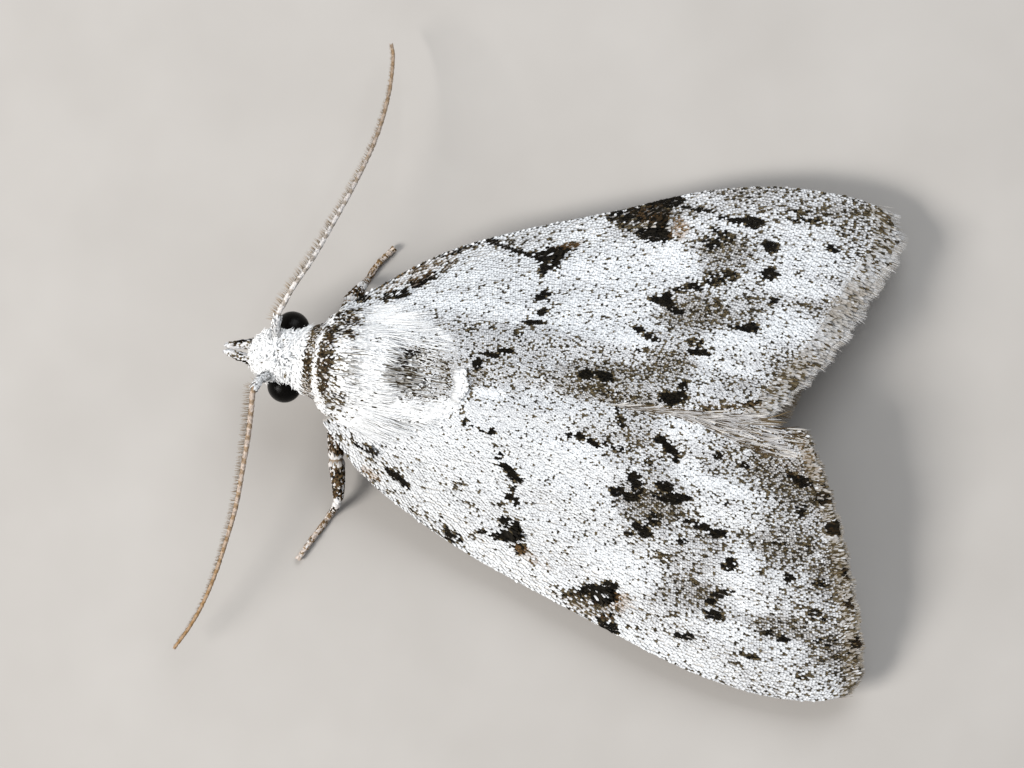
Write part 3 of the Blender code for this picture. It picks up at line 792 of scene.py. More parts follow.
def skin_tones(side, u, v):
    dark, grey, warm = wing_tones(side, forewing_spot(side, u, v))
    return 1 - np.maximum(dark, 0.90 * grey), warm


WING_SKIN = skin_finish("wing_skin", (0.62, 0.60, 0.57), (0.045, 0.032, 0.024))
for side in SIDES:
    thin_sheet("forewing", side, (90, 44), on_forewing, WING_SKIN, skin_tones)

# %% [markdown]
# ## The cover scales of the forewings
# Scales stand in rows across the wing like tiles on a roof, each row half a step aside from the last, and
# each tip lies over the roots behind it. Rows are a twentieth of a millimetre apart. A little chance in
# the turn, tilt and length keeps the rows from looking machined. Where the body lies, no scale is set.

# %% Rows of cover scales
ROW_GAP, SCALE_GAP = 0.050, 0.035
ROW_STRAY, GAP_STRAY = 0.16, 0.008         # how far roots stray from their rows and places
SCALE_LONG, SCALE_WIDE, SCALE_THICK = 0.098, 0.044, 0.024
PEPPER_SIZE = 0.80             # a lone dark scale is shorter than its white neighbours
DUSK_GAP = 0.30                # grey scales leave this share of their row's depth open to the dark skin
TIP_REACH = 0.072              # a scale shows at its tip, this far behind its root


def wing_rows(side):
    """u and v of every scale's root, row by row."""
    rows = int(np.linalg.norm(np.diff(COSTA[side], axis=0), axis=1).sum() / ROW_GAP)
    roots = []
    for row in range(rows):
        share = (row + 0.5) / rows
        ends = plan(side, np.full(2, share), np.array([0.0, 1.0]))
        count = max(int(math.dist(*ends) / SCALE_GAP), 3)
        roots.append(columns(share, (np.arange(count) + 0.25 + 0.5 * (row % 2)) / count))
    u, v = np.concatenate(roots).T
    u = u + (draw(len(u)) - 0.5) * ROW_STRAY / rows
    v = np.clip(v + (draw(len(v)) - 0.5) * GAP_STRAY, 0.0, 1.0)
    return u * fringe_start(side, v), v


def towards_fringe(side, u, v):
    """The direction along the wing at each spot."""
    here, ahead = [on_roof(side, plan(side, at, v))[0] for at in (u, u + 0.01)]
    return unit(ahead - here)


for side in SIDES:
    u, v = wing_rows(side)
    spot = plan(side, u, v)
    root, out = on_roof(side, spot)
    free = root[:, 2] > body_top(root) - 0.02
    u, v, spot, root, out = u[free], v[free], spot[free], root[free], out[free]
    count = len(u)
    dark, grey, warm = wing_tones(side, spot + (0.0, TIP_REACH))
    tone, warm = draw_tones(dark, grey, warm)
    size = np.where((tone < 0.5) & (dark < 0.55), PEPPER_SIZE, 1.0 - DUSK_GAP * grey * (tone > 0.5))
    lie = towards_fringe(side, u, v)
    lie = lie + np.cross(out, lie) * about(0, 0.10, (count, 1))
    lay("forewing_%s_scales" % side, "forewing_scales", COVER, WING_SCALES, root, lie, out,
        length=SCALE_LONG * between(0.94, 1.06, count) * size,
        width=SCALE_WIDE * between(0.85, 1.12, count) * (0.4 + 0.6 * size),
        thick=SCALE_THICK * (0.80 + 0.5 * grey), lift=between(0.15, 0.23, count) + 0.08 * grey, droop=0.05,
        roll=about(0, 0.10, count), tone=tone, warm=warm, sheet=(v, u))

# %% [markdown]
# ## Scales over the rim
# A wing's front edge would show as a bare cut line. On the moth, scales wrap round it, so small ones are
# laid along the rim at chance heights, leaning outwards.

# %% Scales over the rim of the front edge
RIM_SCALES = 1500
RIM_DEPTH = 0.028              # how far down the skin's cut edge they are spread
for side, sign in SIDES.items():
    v = 1.0 - 0.004 * draw(RIM_SCALES)
    u = draw(RIM_SCALES) * fringe_start(side, v)
    spot = plan(side, u, v)
    root, out = on_roof(side, spot, COAT_DEPTH + RIM_DEPTH * draw(RIM_SCALES))
    lie = towards_fringe(side, u, v)
    outward = unit(np.cross(lie, out) * sign)
    outward = outward * np.sign(outward[:, :1] * root[:, :1]) + 0.4 * out
    tone, warm = draw_tones(*wing_tones(side, spot + (0.0, TIP_REACH)))
    lay("forewing_%s_rim" % side, "forewing_scales", COVER, WING_SCALES, root, lie, outward,
        length=0.085 * between(0.85, 1.1, RIM_SCALES), width=0.036, thick=0.010,
        lift=between(0.04, 0.14, RIM_SCALES), roll=about(0, 0.15, RIM_SCALES),
        tone=tone, warm=warm, sheet=(v, u))

# %% [markdown]
# ## The raised tufts
# Three clumps of longer scales stand up near the front edge of each forewing: the mark of this family of
# moths. A clump is an oval too. Its scales lean back, and those in its middle stand highest.

# %% Raised tufts
TUFTS = {       # y, lateral, half length, half width, turn
    "left": ((-2.86, 1.22, 0.18, 0.06, 22), (-0.42, 2.26, 0.20, 0.12, 25), (1.16, 3.06, 0.26, 0.14, 10)),
    "right": ((-2.74, 1.18, 0.20, 0.07, 20), (-0.40, 2.14, 0.18, 0.12, 10), (1.20, 2.88, 0.28, 0.15, 8))}
TUFT_DENSITY = 1400            # scales in a square millimetre of tuft
SHEET_WIDE = 4.4               # of the unrolled wing skin


def down_sheet(y):
    """How far down the unrolled wing skin a place lies, from 0 to 1."""
    return (y + 4.0) / 9.6


for side, sign in SIDES.items():
    roots = []
    for y0, x0, half_long, half_wide, turn in TUFTS[side]:
        count = int(TUFT_DENSITY * math.pi * half_long * half_wide)
        radius, angle, turned = np.sqrt(draw(count)), draw(count) * 2 * math.pi, math.radians(turn)
        a, b = radius * np.cos(angle) * half_long, radius * np.sin(angle) * half_wide
        roots.append(columns(x0 + a * math.sin(turned) + b * math.cos(turned),
                             y0 + a * math.cos(turned) - b * math.sin(turned), 1 - radius))
    lateral, y, middle = np.concatenate(roots).T
    root, out = on_roof(side, columns(lateral, y))
    count = len(root)
    dark, grey, warm = wing_tones(side, columns(lateral, y + TIP_REACH))
    tone, warm = draw_tones(dark * 0.94, grey + 0.2, warm)
    lay("forewing_%s_tufts" % side, "forewing_scales", COVER, WING_SCALES, root,
        (sign * 0.35, 1.0, 0.0) + about(0, 0.30, (count, 3)), out,
        length=(0.11 + 0.08 * middle) * between(0.8, 1.2, count), width=0.045, thick=0.016,
        lift=0.30 + 0.75 * middle, droop=0.25, roll=about(0, 0.3, count), tone=tone, warm=warm,
        sheet=(lateral / SHEET_WIDE, down_sheet(y)))

# %% [markdown]
# ## The fringes
# Behind the wing's edge hangs the fringe, a deep layer of hair scales in light and dark tones. Blunt
# scales lie over its roots and carry the wing's own speckle out over it. The inner edge has a fringe of
# its own, whose hairs sweep back over the seam between the wings.

# %% Fringes
FRINGE_HAIRS, FRINGE_PLATES = 3000, 2600
# how much darker the deep hairs are and how much lighter all hairs, how fast the blunt scales thin out
# towards the tips, and how much darker, greyer and duller than the wing these are
FRINGE_LOOKS = {"left": (0.20, 0.0, 1.1, 0.10, 0.3, 0.06), "right": (-0.08, 0.10, 2.2, 0.0, 0.05, 0.12)}


def ragged(v):
    """The fringe's length swells and shrinks along the edge."""
    return 0.90 + 0.06 * np.sin(v * 57) + 0.04 * np.sin(v * 131 + 2)


for side, (deep, light, thin_out, darker, greyer, duller) in FRINGE_LOOKS.items():
    v = draw(FRINGE_HAIRS)
    u = fringe_start(side, v) - 0.006 + 0.020 * draw(FRINGE_HAIRS)
    root, out = on_roof(side, plan(side, u, v), COAT_DEPTH + 0.01)
    tip, _ = on_roof(side, plan(side, np.ones_like(v), v), COAT_DEPTH + 0.03)
    span = np.linalg.norm(tip - root, axis=1)
    lie = (tip - root) / span[:, None] + about(0, 0.07, (FRINGE_HAIRS, 3))
    is_deep = draw(FRINGE_HAIRS) < 0.4
    tone = between(0.40, 0.72, FRINGE_HAIRS) - deep * is_deep + light
    lay("forewing_%s_fringe" % side, "forewing_scales", HAIR, FRINGE_SCALES, root, lie, out,
        length=span * ragged(v) * between(0.76, 1.04, FRINGE_HAIRS), width=0.015, thick=0.008, droop=0.04,
        sway=about(0, 0.06, FRINGE_HAIRS), tone=tone, warm=0.06, sheet=(v, 0.985))
    v = draw(FRINGE_PLATES)
    reach = draw(FRINGE_PLATES) ** thin_out
    edge = fringe_start(side, v)
    u = edge + (1 - edge) * 0.76 * reach * ragged(v) - 0.012
    spot = plan(side, u, v)
    root, out = on_roof(side, spot)
    dark, grey, warm = wing_tones(side, spot + (0.0, 0.09))
    tone, warm = draw_tones(np.clip(dark * 1.1 + darker, 0, 1), np.clip(grey + greyer, 0, 1), warm + 0.08)
    lay("forewing_%s_fringe_scales" % side, "forewing_scales", COVER, WING_SCALES, root,
        towards_fringe(side, u, v), out, length=between(0.11, 0.17, FRINGE_PLATES), width=0.042, thick=0.016,
        lift=between(0.02, 0.16, FRINGE_PLATES), droop=0.08, roll=about(0, 0.15, FRINGE_PLATES),
        sway=about(0, 0.08, FRINGE_PLATES), tone=tone - duller * (tone > 0.5), warm=warm, sheet=(v, u))

# %% The fringe of the inner edge
# count, from y, to y, least lateral, how far they spread, length, height over the skin, lean outwards
INNER_HAIRS = {"left": (170, 1.8, 3.75, 0.02, 0.46, 0.48, 0.035, 0.12),
               "right": (260, 0.9, 3.20, -0.06, 0.10, 0.60, 0.04, -0.02)}
for side, (count, first, last, near, spread, long, height, lean) in INNER_HAIRS.items():
    y = first + (last - first) * draw(count) ** 0.8
    lateral = near + (spread * smoothstep(first, last, y) + 0.05) * draw(count)
    root, out = on_roof(side, columns(np.maximum(lateral, 0), y), COAT_DEPTH - height)
    root[:, 0] = SIDES[side] * lateral
    lie = columns(SIDES[side] * (lean + about(0, 0.10, count)), 1.0, 0.0)
    lay("forewing_%s_inner_fringe" % side, "forewing_scales", HAIR, FRINGE_SCALES, root, lie, out,
        length=long * between(0.5, 1.1, count), width=0.021, thick=0.012, lift=0.06, droop=0.12,
        sway=about(0, 0.08, count),
        tone=np.where(draw(count) < 0.35, between(0.15, 0.45, count), between(0.70, 0.95, count)),
        warm=0.14, sheet=(0.01, down_sheet(y)))

# %% [markdown]
# ## The hindwings
# At rest the hindwings are folded away under the forewings, beside the abdomen, and only their fringes
# may show between the tips. They are plain grey-brown. Each is a thin sheet on its own planform, a fixed
# depth under the roof, with a looser coat of longer scales and a fringe.

# %% Hindwing skins, scales and fringes
HINDWING_INNER = along(((.66, -2.1), (.72, -1), (.7, 1), (.62, 2.4), (.34, 3.1), (.16, 3.45)))
HINDWING_OUTER = along(((.92, -2.1), (1.16, -1), (1.52, 0), (1.85, 1), (1.98, 2), (1.82, 2.9), (1.2, 3.4),
                        (.6, 3.55)))
HINDWING_DEPTH = 0.60          # under the solids' upper roof
HINDWING_SKIN = skin_finish("hindwing_skin", (0.42, 0.37, 0.32), (0.20, 0.16, 0.13))
HINDWING_SCALES, HINDWING_HAIRS = 2600, 700


def on_hindwing(side, u, v):
    spot = HINDWING_INNER(u) * (1 - v)[..., None] + HINDWING_OUTER(u) * v[..., None]
    return on_roof(side, spot, HINDWING_DEPTH)


for side, sign in SIDES.items():
    thin_sheet("hindwing", side, (40, 14), on_hindwing, HINDWING_SKIN, lambda side, u, v: (0.6, 0.0))
    count = HINDWING_SCALES
    u, v = draw(count), draw(count)
    root, out = on_hindwing(side, u, v)
    ahead, _ = on_hindwing(side, u + 0.01, v)
    lay("hindwing_%s_scales" % side, "hindwing_scales", COVER, FRINGE_SCALES, root, ahead - root, out,
        length=0.14 * between(0.8, 1.2, count), width=0.07, thick=0.01, lift=between(0.04, 0.14, count),
        roll=about(0, 0.1, count), tone=0.42 + 0.18 * draw(count), warm=0.1, sheet=(v, u))
    count = HINDWING_HAIRS
    v = draw(count)
    root, out = on_hindwing(side, np.full(count, 0.99), v)
    lie = columns(sign * about(-0.1, 0.1, count), 1.0, 0.0)
    lay("hindwing_%s_fringe" % side, "hindwing_scales", HAIR, FRINGE_SCALES, root, lie, out,
        length=0.42 * between(0.6, 1.0, count), width=0.02, thick=0.008, droop=0.1,
        tone=0.35 + 0.3 * draw(count), warm=0.15, sheet=(v, 0.985))

# %% [markdown]
# ## The body's skin
# Head, collar, thorax and abdomen are one skin here, drawn out from one ring as a potter pulls a pot: a
# circle is filled, then extruded and resized station by station. Two lappets over the wings' roots are
# eggs set into its shoulders. A voxel Remesh melts the three into one closed skin, and a Smooth modifier
# softens the joins. It lies inside the solids by the depth of the coat, so that the coat brings it back
# to their size. The work is done at one unit to the millimetre and brought to size at the end, because
# the Remesh modifier takes no voxels as small as this moth needs.

# %% One skin from forehead to tail
BODY_SKIN = skin_finish("body_skin", (0.66, 0.64, 0.61), (0.10, 0.08, 0.06))
VOXEL = 0.035

lappets = []
for sign in SIDES.values():
    lappet = start(bpy.ops.mesh.primitive_uv_sphere_add, "lappet", segments=24, ring_count=16, radius=1.0,
                   location=(sign * 0.70, -3.44, 1.50), rotation=(0.0, 0.0, -sign * 0.45))
    lappet.scale = (0.17, 0.40, 0.26)
    bpy.ops.object.transform_apply()
    lappets.append(lappet)
body = filled_ring("body_skin", 40, 1.0)
before = (0.0, 0.0, 1.0, 1.0)
for after in BODY:
    step = (0, after[0] - before[0], after[1] - before[1])
    if after is BODY[0]:
        bpy.ops.transform.translate(value=step)
    else:
        bpy.ops.mesh.extrude_region_move(TRANSFORM_OT_translate={"value": step})
    bpy.ops.transform.resize(value=(after[2] / before[2], 1.0, after[3] / before[3]),
                             center_override=(0, after[0], after[1]))
    before = after
normals_out()
for lappet in lappets:
    lappet.select_set(True)
bpy.ops.object.join()
for name, kind, settings in (("melt", 'REMESH', {"mode": 'VOXEL', "voxel_size": VOXEL}),
                             ("soften", 'SMOOTH', {"factor": 0.5, "iterations": 5})):
    change = body.modifiers.new(name, kind)
    for key, value in settings.items():
        setattr(change, key, value)
    bpy.ops.object.modifier_apply(modifier=name)
body.scale = (MM, MM, MM)
bpy.ops.object.transform_apply()
bpy.ops.object.shade_smooth()
carry(body.data, 0.8, 0.0, 1.0, 0.5)
body.data.materials.clear()
body.data.materials.append(BODY_SKIN)
dress(body, "body_scales", "head", "collar", "thorax", "abdomen")
print("body skin: %d faces" % len(body.data.polygons))

# %% [markdown]
# ## The coat of the body
# Roots are scattered over the skin by chance, in proportion to area. Each stretch of the body has its own
# rule for which places are clothed, how its scales lie and which of them are dark. Where the wings cover
# the thorax, the roots are lifted on to them.

# %% A coat on any stretch of skin
def scatter(piece, count, keep):
    """Roots and outward directions on a piece's skin. keep gives each place a share from 0 to 1."""
    mesh = piece.data
    mesh.calc_loop_triangles()
    corners = values(mesh.loop_triangles, "vertices").T
    points, normals = values(mesh.vertices, "co") / MM, values(mesh.vertices, "normal")
    first, second, third = points[corners]
    area = np.linalg.norm(np.cross(second - first, third - first), axis=1)
    area = area * keep(*((first + second + third) / 3).T)
    chosen = corners[:, chance.choice(len(area), count, p=area / area.sum())]
    s, t = draw((2, count))
    s, t = np.where(s + t > 1, (1 - s, 1 - t), (s, t))
    share = np.stack([1 - s - t, s, t])[..., None]
    return (points[chosen] * share).sum(0), unit((normals[chosen] * share).sum(0))


def over_wings(root):
    """Lift roots that lie under the wings' skins on to them, and give the wings' outward directions."""
    lateral, y = np.abs(root[:, 0]), root[:, 1]
    covered, outward = np.zeros(len(root), bool), np.zeros_like(root)
    for side, sign in SIDES.items():
        inside = (lateral < COSTA_WIDTH[side](y)[:, 0] - 0.05) & (y > COSTA[side][0][1])
        inside = inside & (root[:, 0] * sign >= 0)
        place, out = on_roof(side, columns(lateral, y), COAT_DEPTH - 0.01)
        below = inside & (root[:, 2] < place[:, 2])
        root[below], outward[below] = place[below], out[below]
        covered |= below
    return covered, outward


def backwards(x, y, z):
    return columns(0 * x, 1.0, 0.0)


def body_coat(name, shape, count, keep, tones, long, wide, lift, droop, flow=backwards, thick=0.012,
              lifted=False, slot="body_scales", tousle=0.14):
    """A coat on a stretch of the body, by rules for where it grows, what its tones are and how it lies."""
    root, out = scatter(body, count, keep)
    if lifted:
        covered, wing_out = over_wings(root)
        out = np.where(covered[:, None], wing_out, out)
    x, y, z = root.T
    lie = unit(flow(x, y, z)) + about(0, tousle, (count, 3))
    tone, warm = tones(x, y + 0.6 * np.mean(long))         # a scale shows at its tip, behind its root
    turn = np.arctan2(x, z - BODY_AT(y)[:, 0])
    lay(name, slot, shape, BODY_SCALES, root, lie, out, length=between(*long, count), width=wide, thick=thick,
        lift=between(*lift, count), droop=droop, roll=about(0, 0.25, count), sway=about(0, 0.06, count),
        tone=tone, warm=warm, sheet=(0.5 + turn / (2 * math.pi), (y + 5.0) / 8.2))


def stretch(low, high, top_only=True):
    """Keep places between two stations, and only the upper side if asked."""
    def keep(x, y, z):
        above = z > BODY_AT(y)[:, 0] - 0.20 if top_only else np.ones_like(x, bool)
        return ((y > low) & (y < high) & above) * 1.0
    return keep


print("the body's skin is %.2f mm long" % (body.dimensions.y / MM))

# %% [markdown]
# ## The head
# The head wears short broad scales that stand up like a fleece and spread over the eyes' rims, with finer
# hairs among them. The fleece spreads from a middle point: forwards over the brow, sideways over the
# eyes, and back over the collar.

# %% The fleece of the head
def head_flow(x, y, z):
    spread = columns(np.clip(x * 2.6, -1, 1), np.clip((y + 4.46) * 3.5, -1, 1), 0.0)
    return spread + about(0, 0.30, spread.shape)


def head_tones(x, y):
    return draw_tones(0.012 + 0 * x, 0.10, 0.0)


HEAD = stretch(-4.86, -4.10)
body_coat("head_fleece", COVER, 3200, HEAD, head_tones, (0.09, 0.15), 0.036, (0.35, 0.95), droop=0.45,
          flow=head_flow, tousle=0.35)
body_coat("head_hairs", HAIR, 1800, HEAD, head_tones, (0.14, 0.24), 0.018, (0.30, 0.80), droop=0.40,
          flow=head_flow, thick=0.010, tousle=0.40)

# %% [markdown]
# ## Collar and thorax
# The collar is cream, crossed by a ragged brown arc. Behind it a broken dark band crosses the front of the
# thorax, with a thin arm back along the right side. The thorax carries long narrow hair scales over its
# cover scales, white at the sides and grey and dark in the middle. Ovals in the same form as the wings'
# give its dark patches.

# %% Collar, thorax and shoulders
FRONT_MARKS = ((-3.55, -.78, .28, .2, .86), (-3.5, .9, .14, .08, .7, 15), (-3.5, .55, .22, .15, .56))
LINE_MARKS = ((-2.4, .72, .26, .03, .6), (-2.35, .86, .28, .03, .6))
THORAX_MARKS = (*FRONT_MARKS, *LINE_MARKS, (-1.74, .12, .08, .2, .55), (-2.28, -.37, .24, .08, .9, -12),
                (-2.3, .08, .3, .1, .75), (-1.9, .1, .2, .16, .6), (-2.46, -.14, .1, .2, .75),
                (-2.25, .26, .3, .12, .4), (-2.08, -.5, .14, .08, .65), (-2.66, -.57, .08, .05, .5),
                (-3.48, .1, .1, .3, .35))


def highest(*shares):
    return columns(*shares).max(-1)


def round_patch(low, high, x, y, middle, size):
    """1 in the middle of a soft round patch and 0 outside it."""
    return smoothstep(low, high, np.hypot((x - middle[0]) / size[0], (y - middle[1]) / size[1]))


def front_band(x, y):
    """The broken dark band across the front of the thorax, and its thin arm."""
    broken = 0.86 + 0.06 * np.sin(13 * x + 0.6) + 0.03 * np.sin(31 * x)
    bow = y - 0.45 * x * x
    band = smoothstep(-3.86, -3.80, bow) * smoothstep(-3.53, -3.62, y) * smoothstep(0.56, 0.44, np.abs(x))
    arm = smoothstep(0.09, 0.04, np.abs(x + 0.48)) * smoothstep(-3.82, -3.76, y) * smoothstep(-3.22, -3.34, y)
    return np.maximum(band * broken, 0.85 * arm)


def browner(tone, share):
    """Turn a share of the black scales brown."""
    return tone + (draw(len(tone)) < share) * (tone < 0.1) * between(0.04, 0.22, len(tone))


def collar_tones(x, y):
    band = front_band(x, y)
    arc = smoothstep(0.15, 0.07, np.abs(y + 4.00 - 0.30 * x * x)) * smoothstep(0.74, 0.58, np.abs(x))
    brown = arc * (0.76 + 0.12 * np.sin(9 * x + 1.0))
    front = 0.20 * smoothstep(-4.06, -4.12, y)
    ground = np.maximum(arc, band)
    tone, warm = draw_tones(highest(brown, front, band, 0.07), 0.15 + 0.75 * ground, 0.10 + 0.04 * ground)
    return browner(tone, 0.55), warm


def thorax_tones(x, y):
    band = front_band(x, y)
    middle = round_patch(1.15, 0.7, x, y, (0, -2.18), (0.46, 0.52))
    rear = smoothstep(-2.6, -2.2, y) * smoothstep(0.5, -0.1, x)
    right_side = smoothstep(-0.55, -0.8, x) * smoothstep(-2.9, -2.5, y)
    ground = np.maximum(ovals(FRONT_MARKS, x, y), band)
    dark = highest(band, ovals(THORAX_MARKS, x, y), 0.50 * middle + 0.10 * rear, 0.035)
    grey = highest(0.08 + 0.87 * middle + 0.45 * right_side, 0.70 * rear, 0.9 * ground)
    tone, warm = draw_tones(dark, grey, 0.12 * ground)
    darker = np.where(tone < 0.4, 0.6 * tone, tone)
    return np.where(y > -3.0, darker, browner(tone, 0.5)), np.where(y > -3.0, 0, warm)


def hair_flow(x, y, z):
    return columns(0.45 * np.sign(x) * smoothstep(0.45, 0.9, np.abs(x)) - 0.18 * x, 1.0, 0.0)


def hair_tones(x, y):
    # the first patch greys the middle of the thorax; the second, just behind the dark band, is painted shade
    patch = np.maximum(round_patch(1.2, 0.7, x, y, (0, -2.20), (0.48, 0.55)),
                       0.6 * round_patch(1.2, 0.6, x, y, (-0.06, -3.28), (0.34, 0.20)))
    patch = patch * (1 - 0.5 * round_patch(1.1, 0.5, x, y, (-0.16, -2.08), (0.22, 0.20)))
    count = len(x)
    grey = np.where(draw(count) < 0.22, between(0.08, 0.30, count), between(0.46, 0.78, count))
    tone = np.where(draw(count) < 0.90 * patch, grey, between(0.86, 1.0, count))
    return np.where(draw(count) < 0.5 * ovals(LINE_MARKS, x, y), 0.2, tone), 0.0


def side_tones(x, y):
    return draw_tones(0.25 + 0 * x, 0.5, 0.05)


def shoulders(x, y, z):
    return ((y > -3.8) & (y < -2.7) & (np.abs(x) > 0.5) & (z > 1.05) & (z < 1.72)) * 1.0


def thorax_middle(x, y, z):
    disc = (np.hypot((x - 0.05) / 0.53, (y + 3.15) / 0.56) < 0.86) | (y > -3.2) & (np.abs(x) < 0.9)
    return stretch(-3.62, -1.95)(x, y, z) * disc


def lappet_tops(x, y, z):
    return ((np.abs(x) > 0.55) & (y > -3.3) & (y < -2.8) & (z > 1.45)) * 1.0


body_coat("collar_scales", COVER, 4200, stretch(-4.20, -3.70), collar_tones, (0.075, 0.105), 0.036,
          (0.25, 0.50), droop=0.30)
body_coat("thorax_scales", COVER, 7500, stretch(-3.84, -1.60), thorax_tones, (0.09, 0.13), 0.038,
          (0.12, 0.34), droop=0.2, lifted=True)
body_coat("shoulder_scales", COVER, 1500, shoulders, side_tones, (0.09, 0.13), 0.042, (0.10, 0.28), droop=0.2)
body_coat("thorax_hairs", HAIR, 3000, thorax_middle, hair_tones, (0.22, 0.42), 0.013, (0.10, 0.28),
          droop=0.25, flow=hair_flow, lifted=True, thick=0.008, tousle=0.10)
body_coat("lappet_hairs", HAIR, 800, lappet_tops, hair_tones, (0.45, 0.80), 0.013, (0.04, 0.16),
          droop=0.10, flow=hair_flow, lifted=True, thick=0.008, tousle=0.08)

# %% [markdown]
# ## The underside, the abdomen and the rear tuft
# The sides and underside of the body are clothed too, more simply, because they are seen from low angles
# only. The abdomen is pale grey-brown with paler rings where one segment meets the next. Behind the
# thorax a small white tuft of blunt scales lies over the seam of the wings and stands up a little.

# %% Belly, abdomen and tuft
SEGMENT = 0.62                 # of the abdomen, in length
TUFT_SCALES = 380


def abdomen_tones(x, y):
    ring = 0.5 + 0.5 * np.cos((y + 1.2) * 2 * math.pi / SEGMENT)
    return draw_tones(0.20 * (1 - ring) + 0.05, 0.7 - 0.4 * ring, 0.05)


def underside(x, y, z):
    return ((y < -1.7) & (z < BODY_AT(y)[:, 0] - 0.15)) * 1.0


body_coat("belly_scales", COVER, 2600, underside, side_tones, (0.12, 0.2), 0.06, (0.1, 0.3), droop=0.15)
body_coat("abdomen_scales", COVER, 5200, stretch(-1.75, 3.0, top_only=False), abdomen_tones, (0.12, 0.18),
          0.06, (0.06, 0.2), droop=0.12, slot="abdomen_scales")
across = np.clip(about(0.07, 0.11, TUFT_SCALES), -0.16, 0.30)
back = -1.59 + 0.03 * np.sin(16 * across) + between(-0.07, 0.06, TUFT_SCALES)
root, _ = on_roof("left", columns(np.abs(across), back), 0.5 * COAT_DEPTH)
root[:, 0] = across
lie = columns(about(0, 0.12, TUFT_SCALES), 1.0, 0.0)
tone, warm = draw_tones(np.full(TUFT_SCALES, 0.02), 0.10, 0.06)
lay("rear_tuft", "body_scales", COVER, BODY_SCALES, root, lie, np.tile(UP, (TUFT_SCALES, 1)),
    length=between(0.10, 0.14, TUFT_SCALES), width=0.045, thick=0.014, lift=between(0.15, 0.60, TUFT_SCALES),
    droop=0.15, roll=about(0, 0.25, TUFT_SCALES), tone=tone, warm=warm)

# %% [markdown]
# ## The eyes
# A moth's eye is a ball of many hundred hexagonal lenses, black and glossy. The ball is a trace smaller
# than its solid. A fine cell pattern in the bump gives the facets, which show only close up.

# %% Two compound eyes
FACET = 0.022                  # width of one lens
UNDER_SOLID = 0.985            # the ball's size against the solid's


def eye_finish():
    finish = Finish("eye_black")
    cells = finish.node("ShaderNodeTexVoronoi", {"feature": 'DISTANCE_TO_EDGE'},
                        {"Vector": finish.place(), "Scale": 1.0 / (FACET * MM)}, result="Distance")
    seam = (cells * 6.0).clamped()
    colour = finish.ramp(seam, (0.0, (0.001, 0.0008, 0.0006)), (1.0, (0.003, 0.0025, 0.002)))
    finish.set(base_color=colour, roughness=0.26 - 0.10 * seam, normal=finish.bump(seam, 0.30, 0.003),
               specular_ior_level=0.06)
    return finish.material


EYE_BLACK = eye_finish()
for side in SIDES:
    low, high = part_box("eye_" + side)
    radius = (high.x - low.x) / 2
    eye = start(bpy.ops.mesh.primitive_ico_sphere_add, "eye_%s_ball" % side, subdivisions=5,
                radius=radius * UNDER_SOLID, location=(low + high) / 2)
    bpy.ops.object.transform_apply()
    bpy.ops.object.shade_smooth()
    eye.data.materials.append(EYE_BLACK)
    dress(eye, "eye", "eye_" + side)
print("eyes: %.2f mm across" % (2 * radius / MM))

# %% [markdown]
# ## Threads
# Feelers, palps and legs are threads under their scales. A thread is a curve with a round bevel, turned
# into a mesh, whose radius follows a rule. Its scales are laid at a fraction of its length and a turn
# round it.

# %% A thread along a smooth line, and its scales
def thread_finish(name, pale, dark, roughness_of_skin):
    """A thread whose tone comes from the attribute that it carries, with a fine grain."""
    finish = Finish(name)
    grain = finish.noise(0.03, 2.0)
    share = (finish.coat("Red") + 0.3 * (grain - 0.5)).clamped()
    finish.set(base_color=finish.mix((*dark, 1.0), (*pale, 1.0), share), roughness=0.45 + 0.25 * grain,
               normal=finish.bump(grain, roughness_of_skin, 0.003))
    return finish.material


def thread(name, slot, nodes, line, radius, steps, finish, tone):
    """A dressed tube along a line; line and radius are functions of the fraction from root to tip."""
    curve = bpy.data.curves.new(name, 'CURVE')
    curve.dimensions = '3D'
    curve.bevel_depth = MM
    curve.bevel_resolution = 3
    curve.use_fill_caps = True
    spline = curve.splines.new('POLY')
    spline.points.add(steps - 1)
    share = np.linspace(0, 1, steps)
    spline.points.foreach_set("co", np.column_stack([line(share) * MM, np.ones(steps)]).ravel())
    spline.points.foreach_set("radius", radius(share))
    piece = bpy.data.objects.new(name, curve)
    bpy.context.scene.collection.objects.link(piece)
    bpy.ops.object.select_all(action='DESELECT')
    piece.select_set(True)
    bpy.context.view_layer.objects.active = piece
    bpy.ops.object.convert(target='MESH')
    edit_all()
    bpy.ops.mesh.remove_doubles(threshold=0.00002 * MM)
    normals_out()
    bpy.ops.object.shade_smooth()
    piece.data.materials.clear()
    piece.data.materials.append(finish)
    carry(piece.data, tone, 0.0, 1.0, 0.5)
    dress(piece, slot, *nodes)
    print("%s: %d faces" % (name, len(piece.data.polygons)))


def around(line, share, turn):
    """Middle, outward and onward directions at fractions of a line; turn 0 is up."""
    onward = unit(line(np.clip(share + 0.01, 0, 1)) - line(np.clip(share - 0.01, 0, 1)))
    sideways = unit(np.cross(onward, UP))
    out = np.cross(sideways, onward) * np.cos(turn)[:, None] + sideways * np.sin(turn)[:, None]
    return line(share), out, onward


def clothe(name, slot, finish, line, share, turn, height, turns=7, **looks):
    """Cover scales along a thread, at heights over its middle."""
    middle, out, onward = around(line, share, turn)
    lay(name, slot, COVER, finish, middle + out * np.reshape(height, (-1, 1)), onward, out,
        sheet=(0.5 + turn / turns, share), **looks)


def mirrored(points, sign):
    return np.array(points) * (sign, 1, 1)


_, sideways, _ = around(along(((0, 0, 0), (0, 1, 0))), np.array([0.5]), np.array([math.pi / 2]))
print("a quarter turn round a thread that runs backwards points to", sideways[0].round(3))

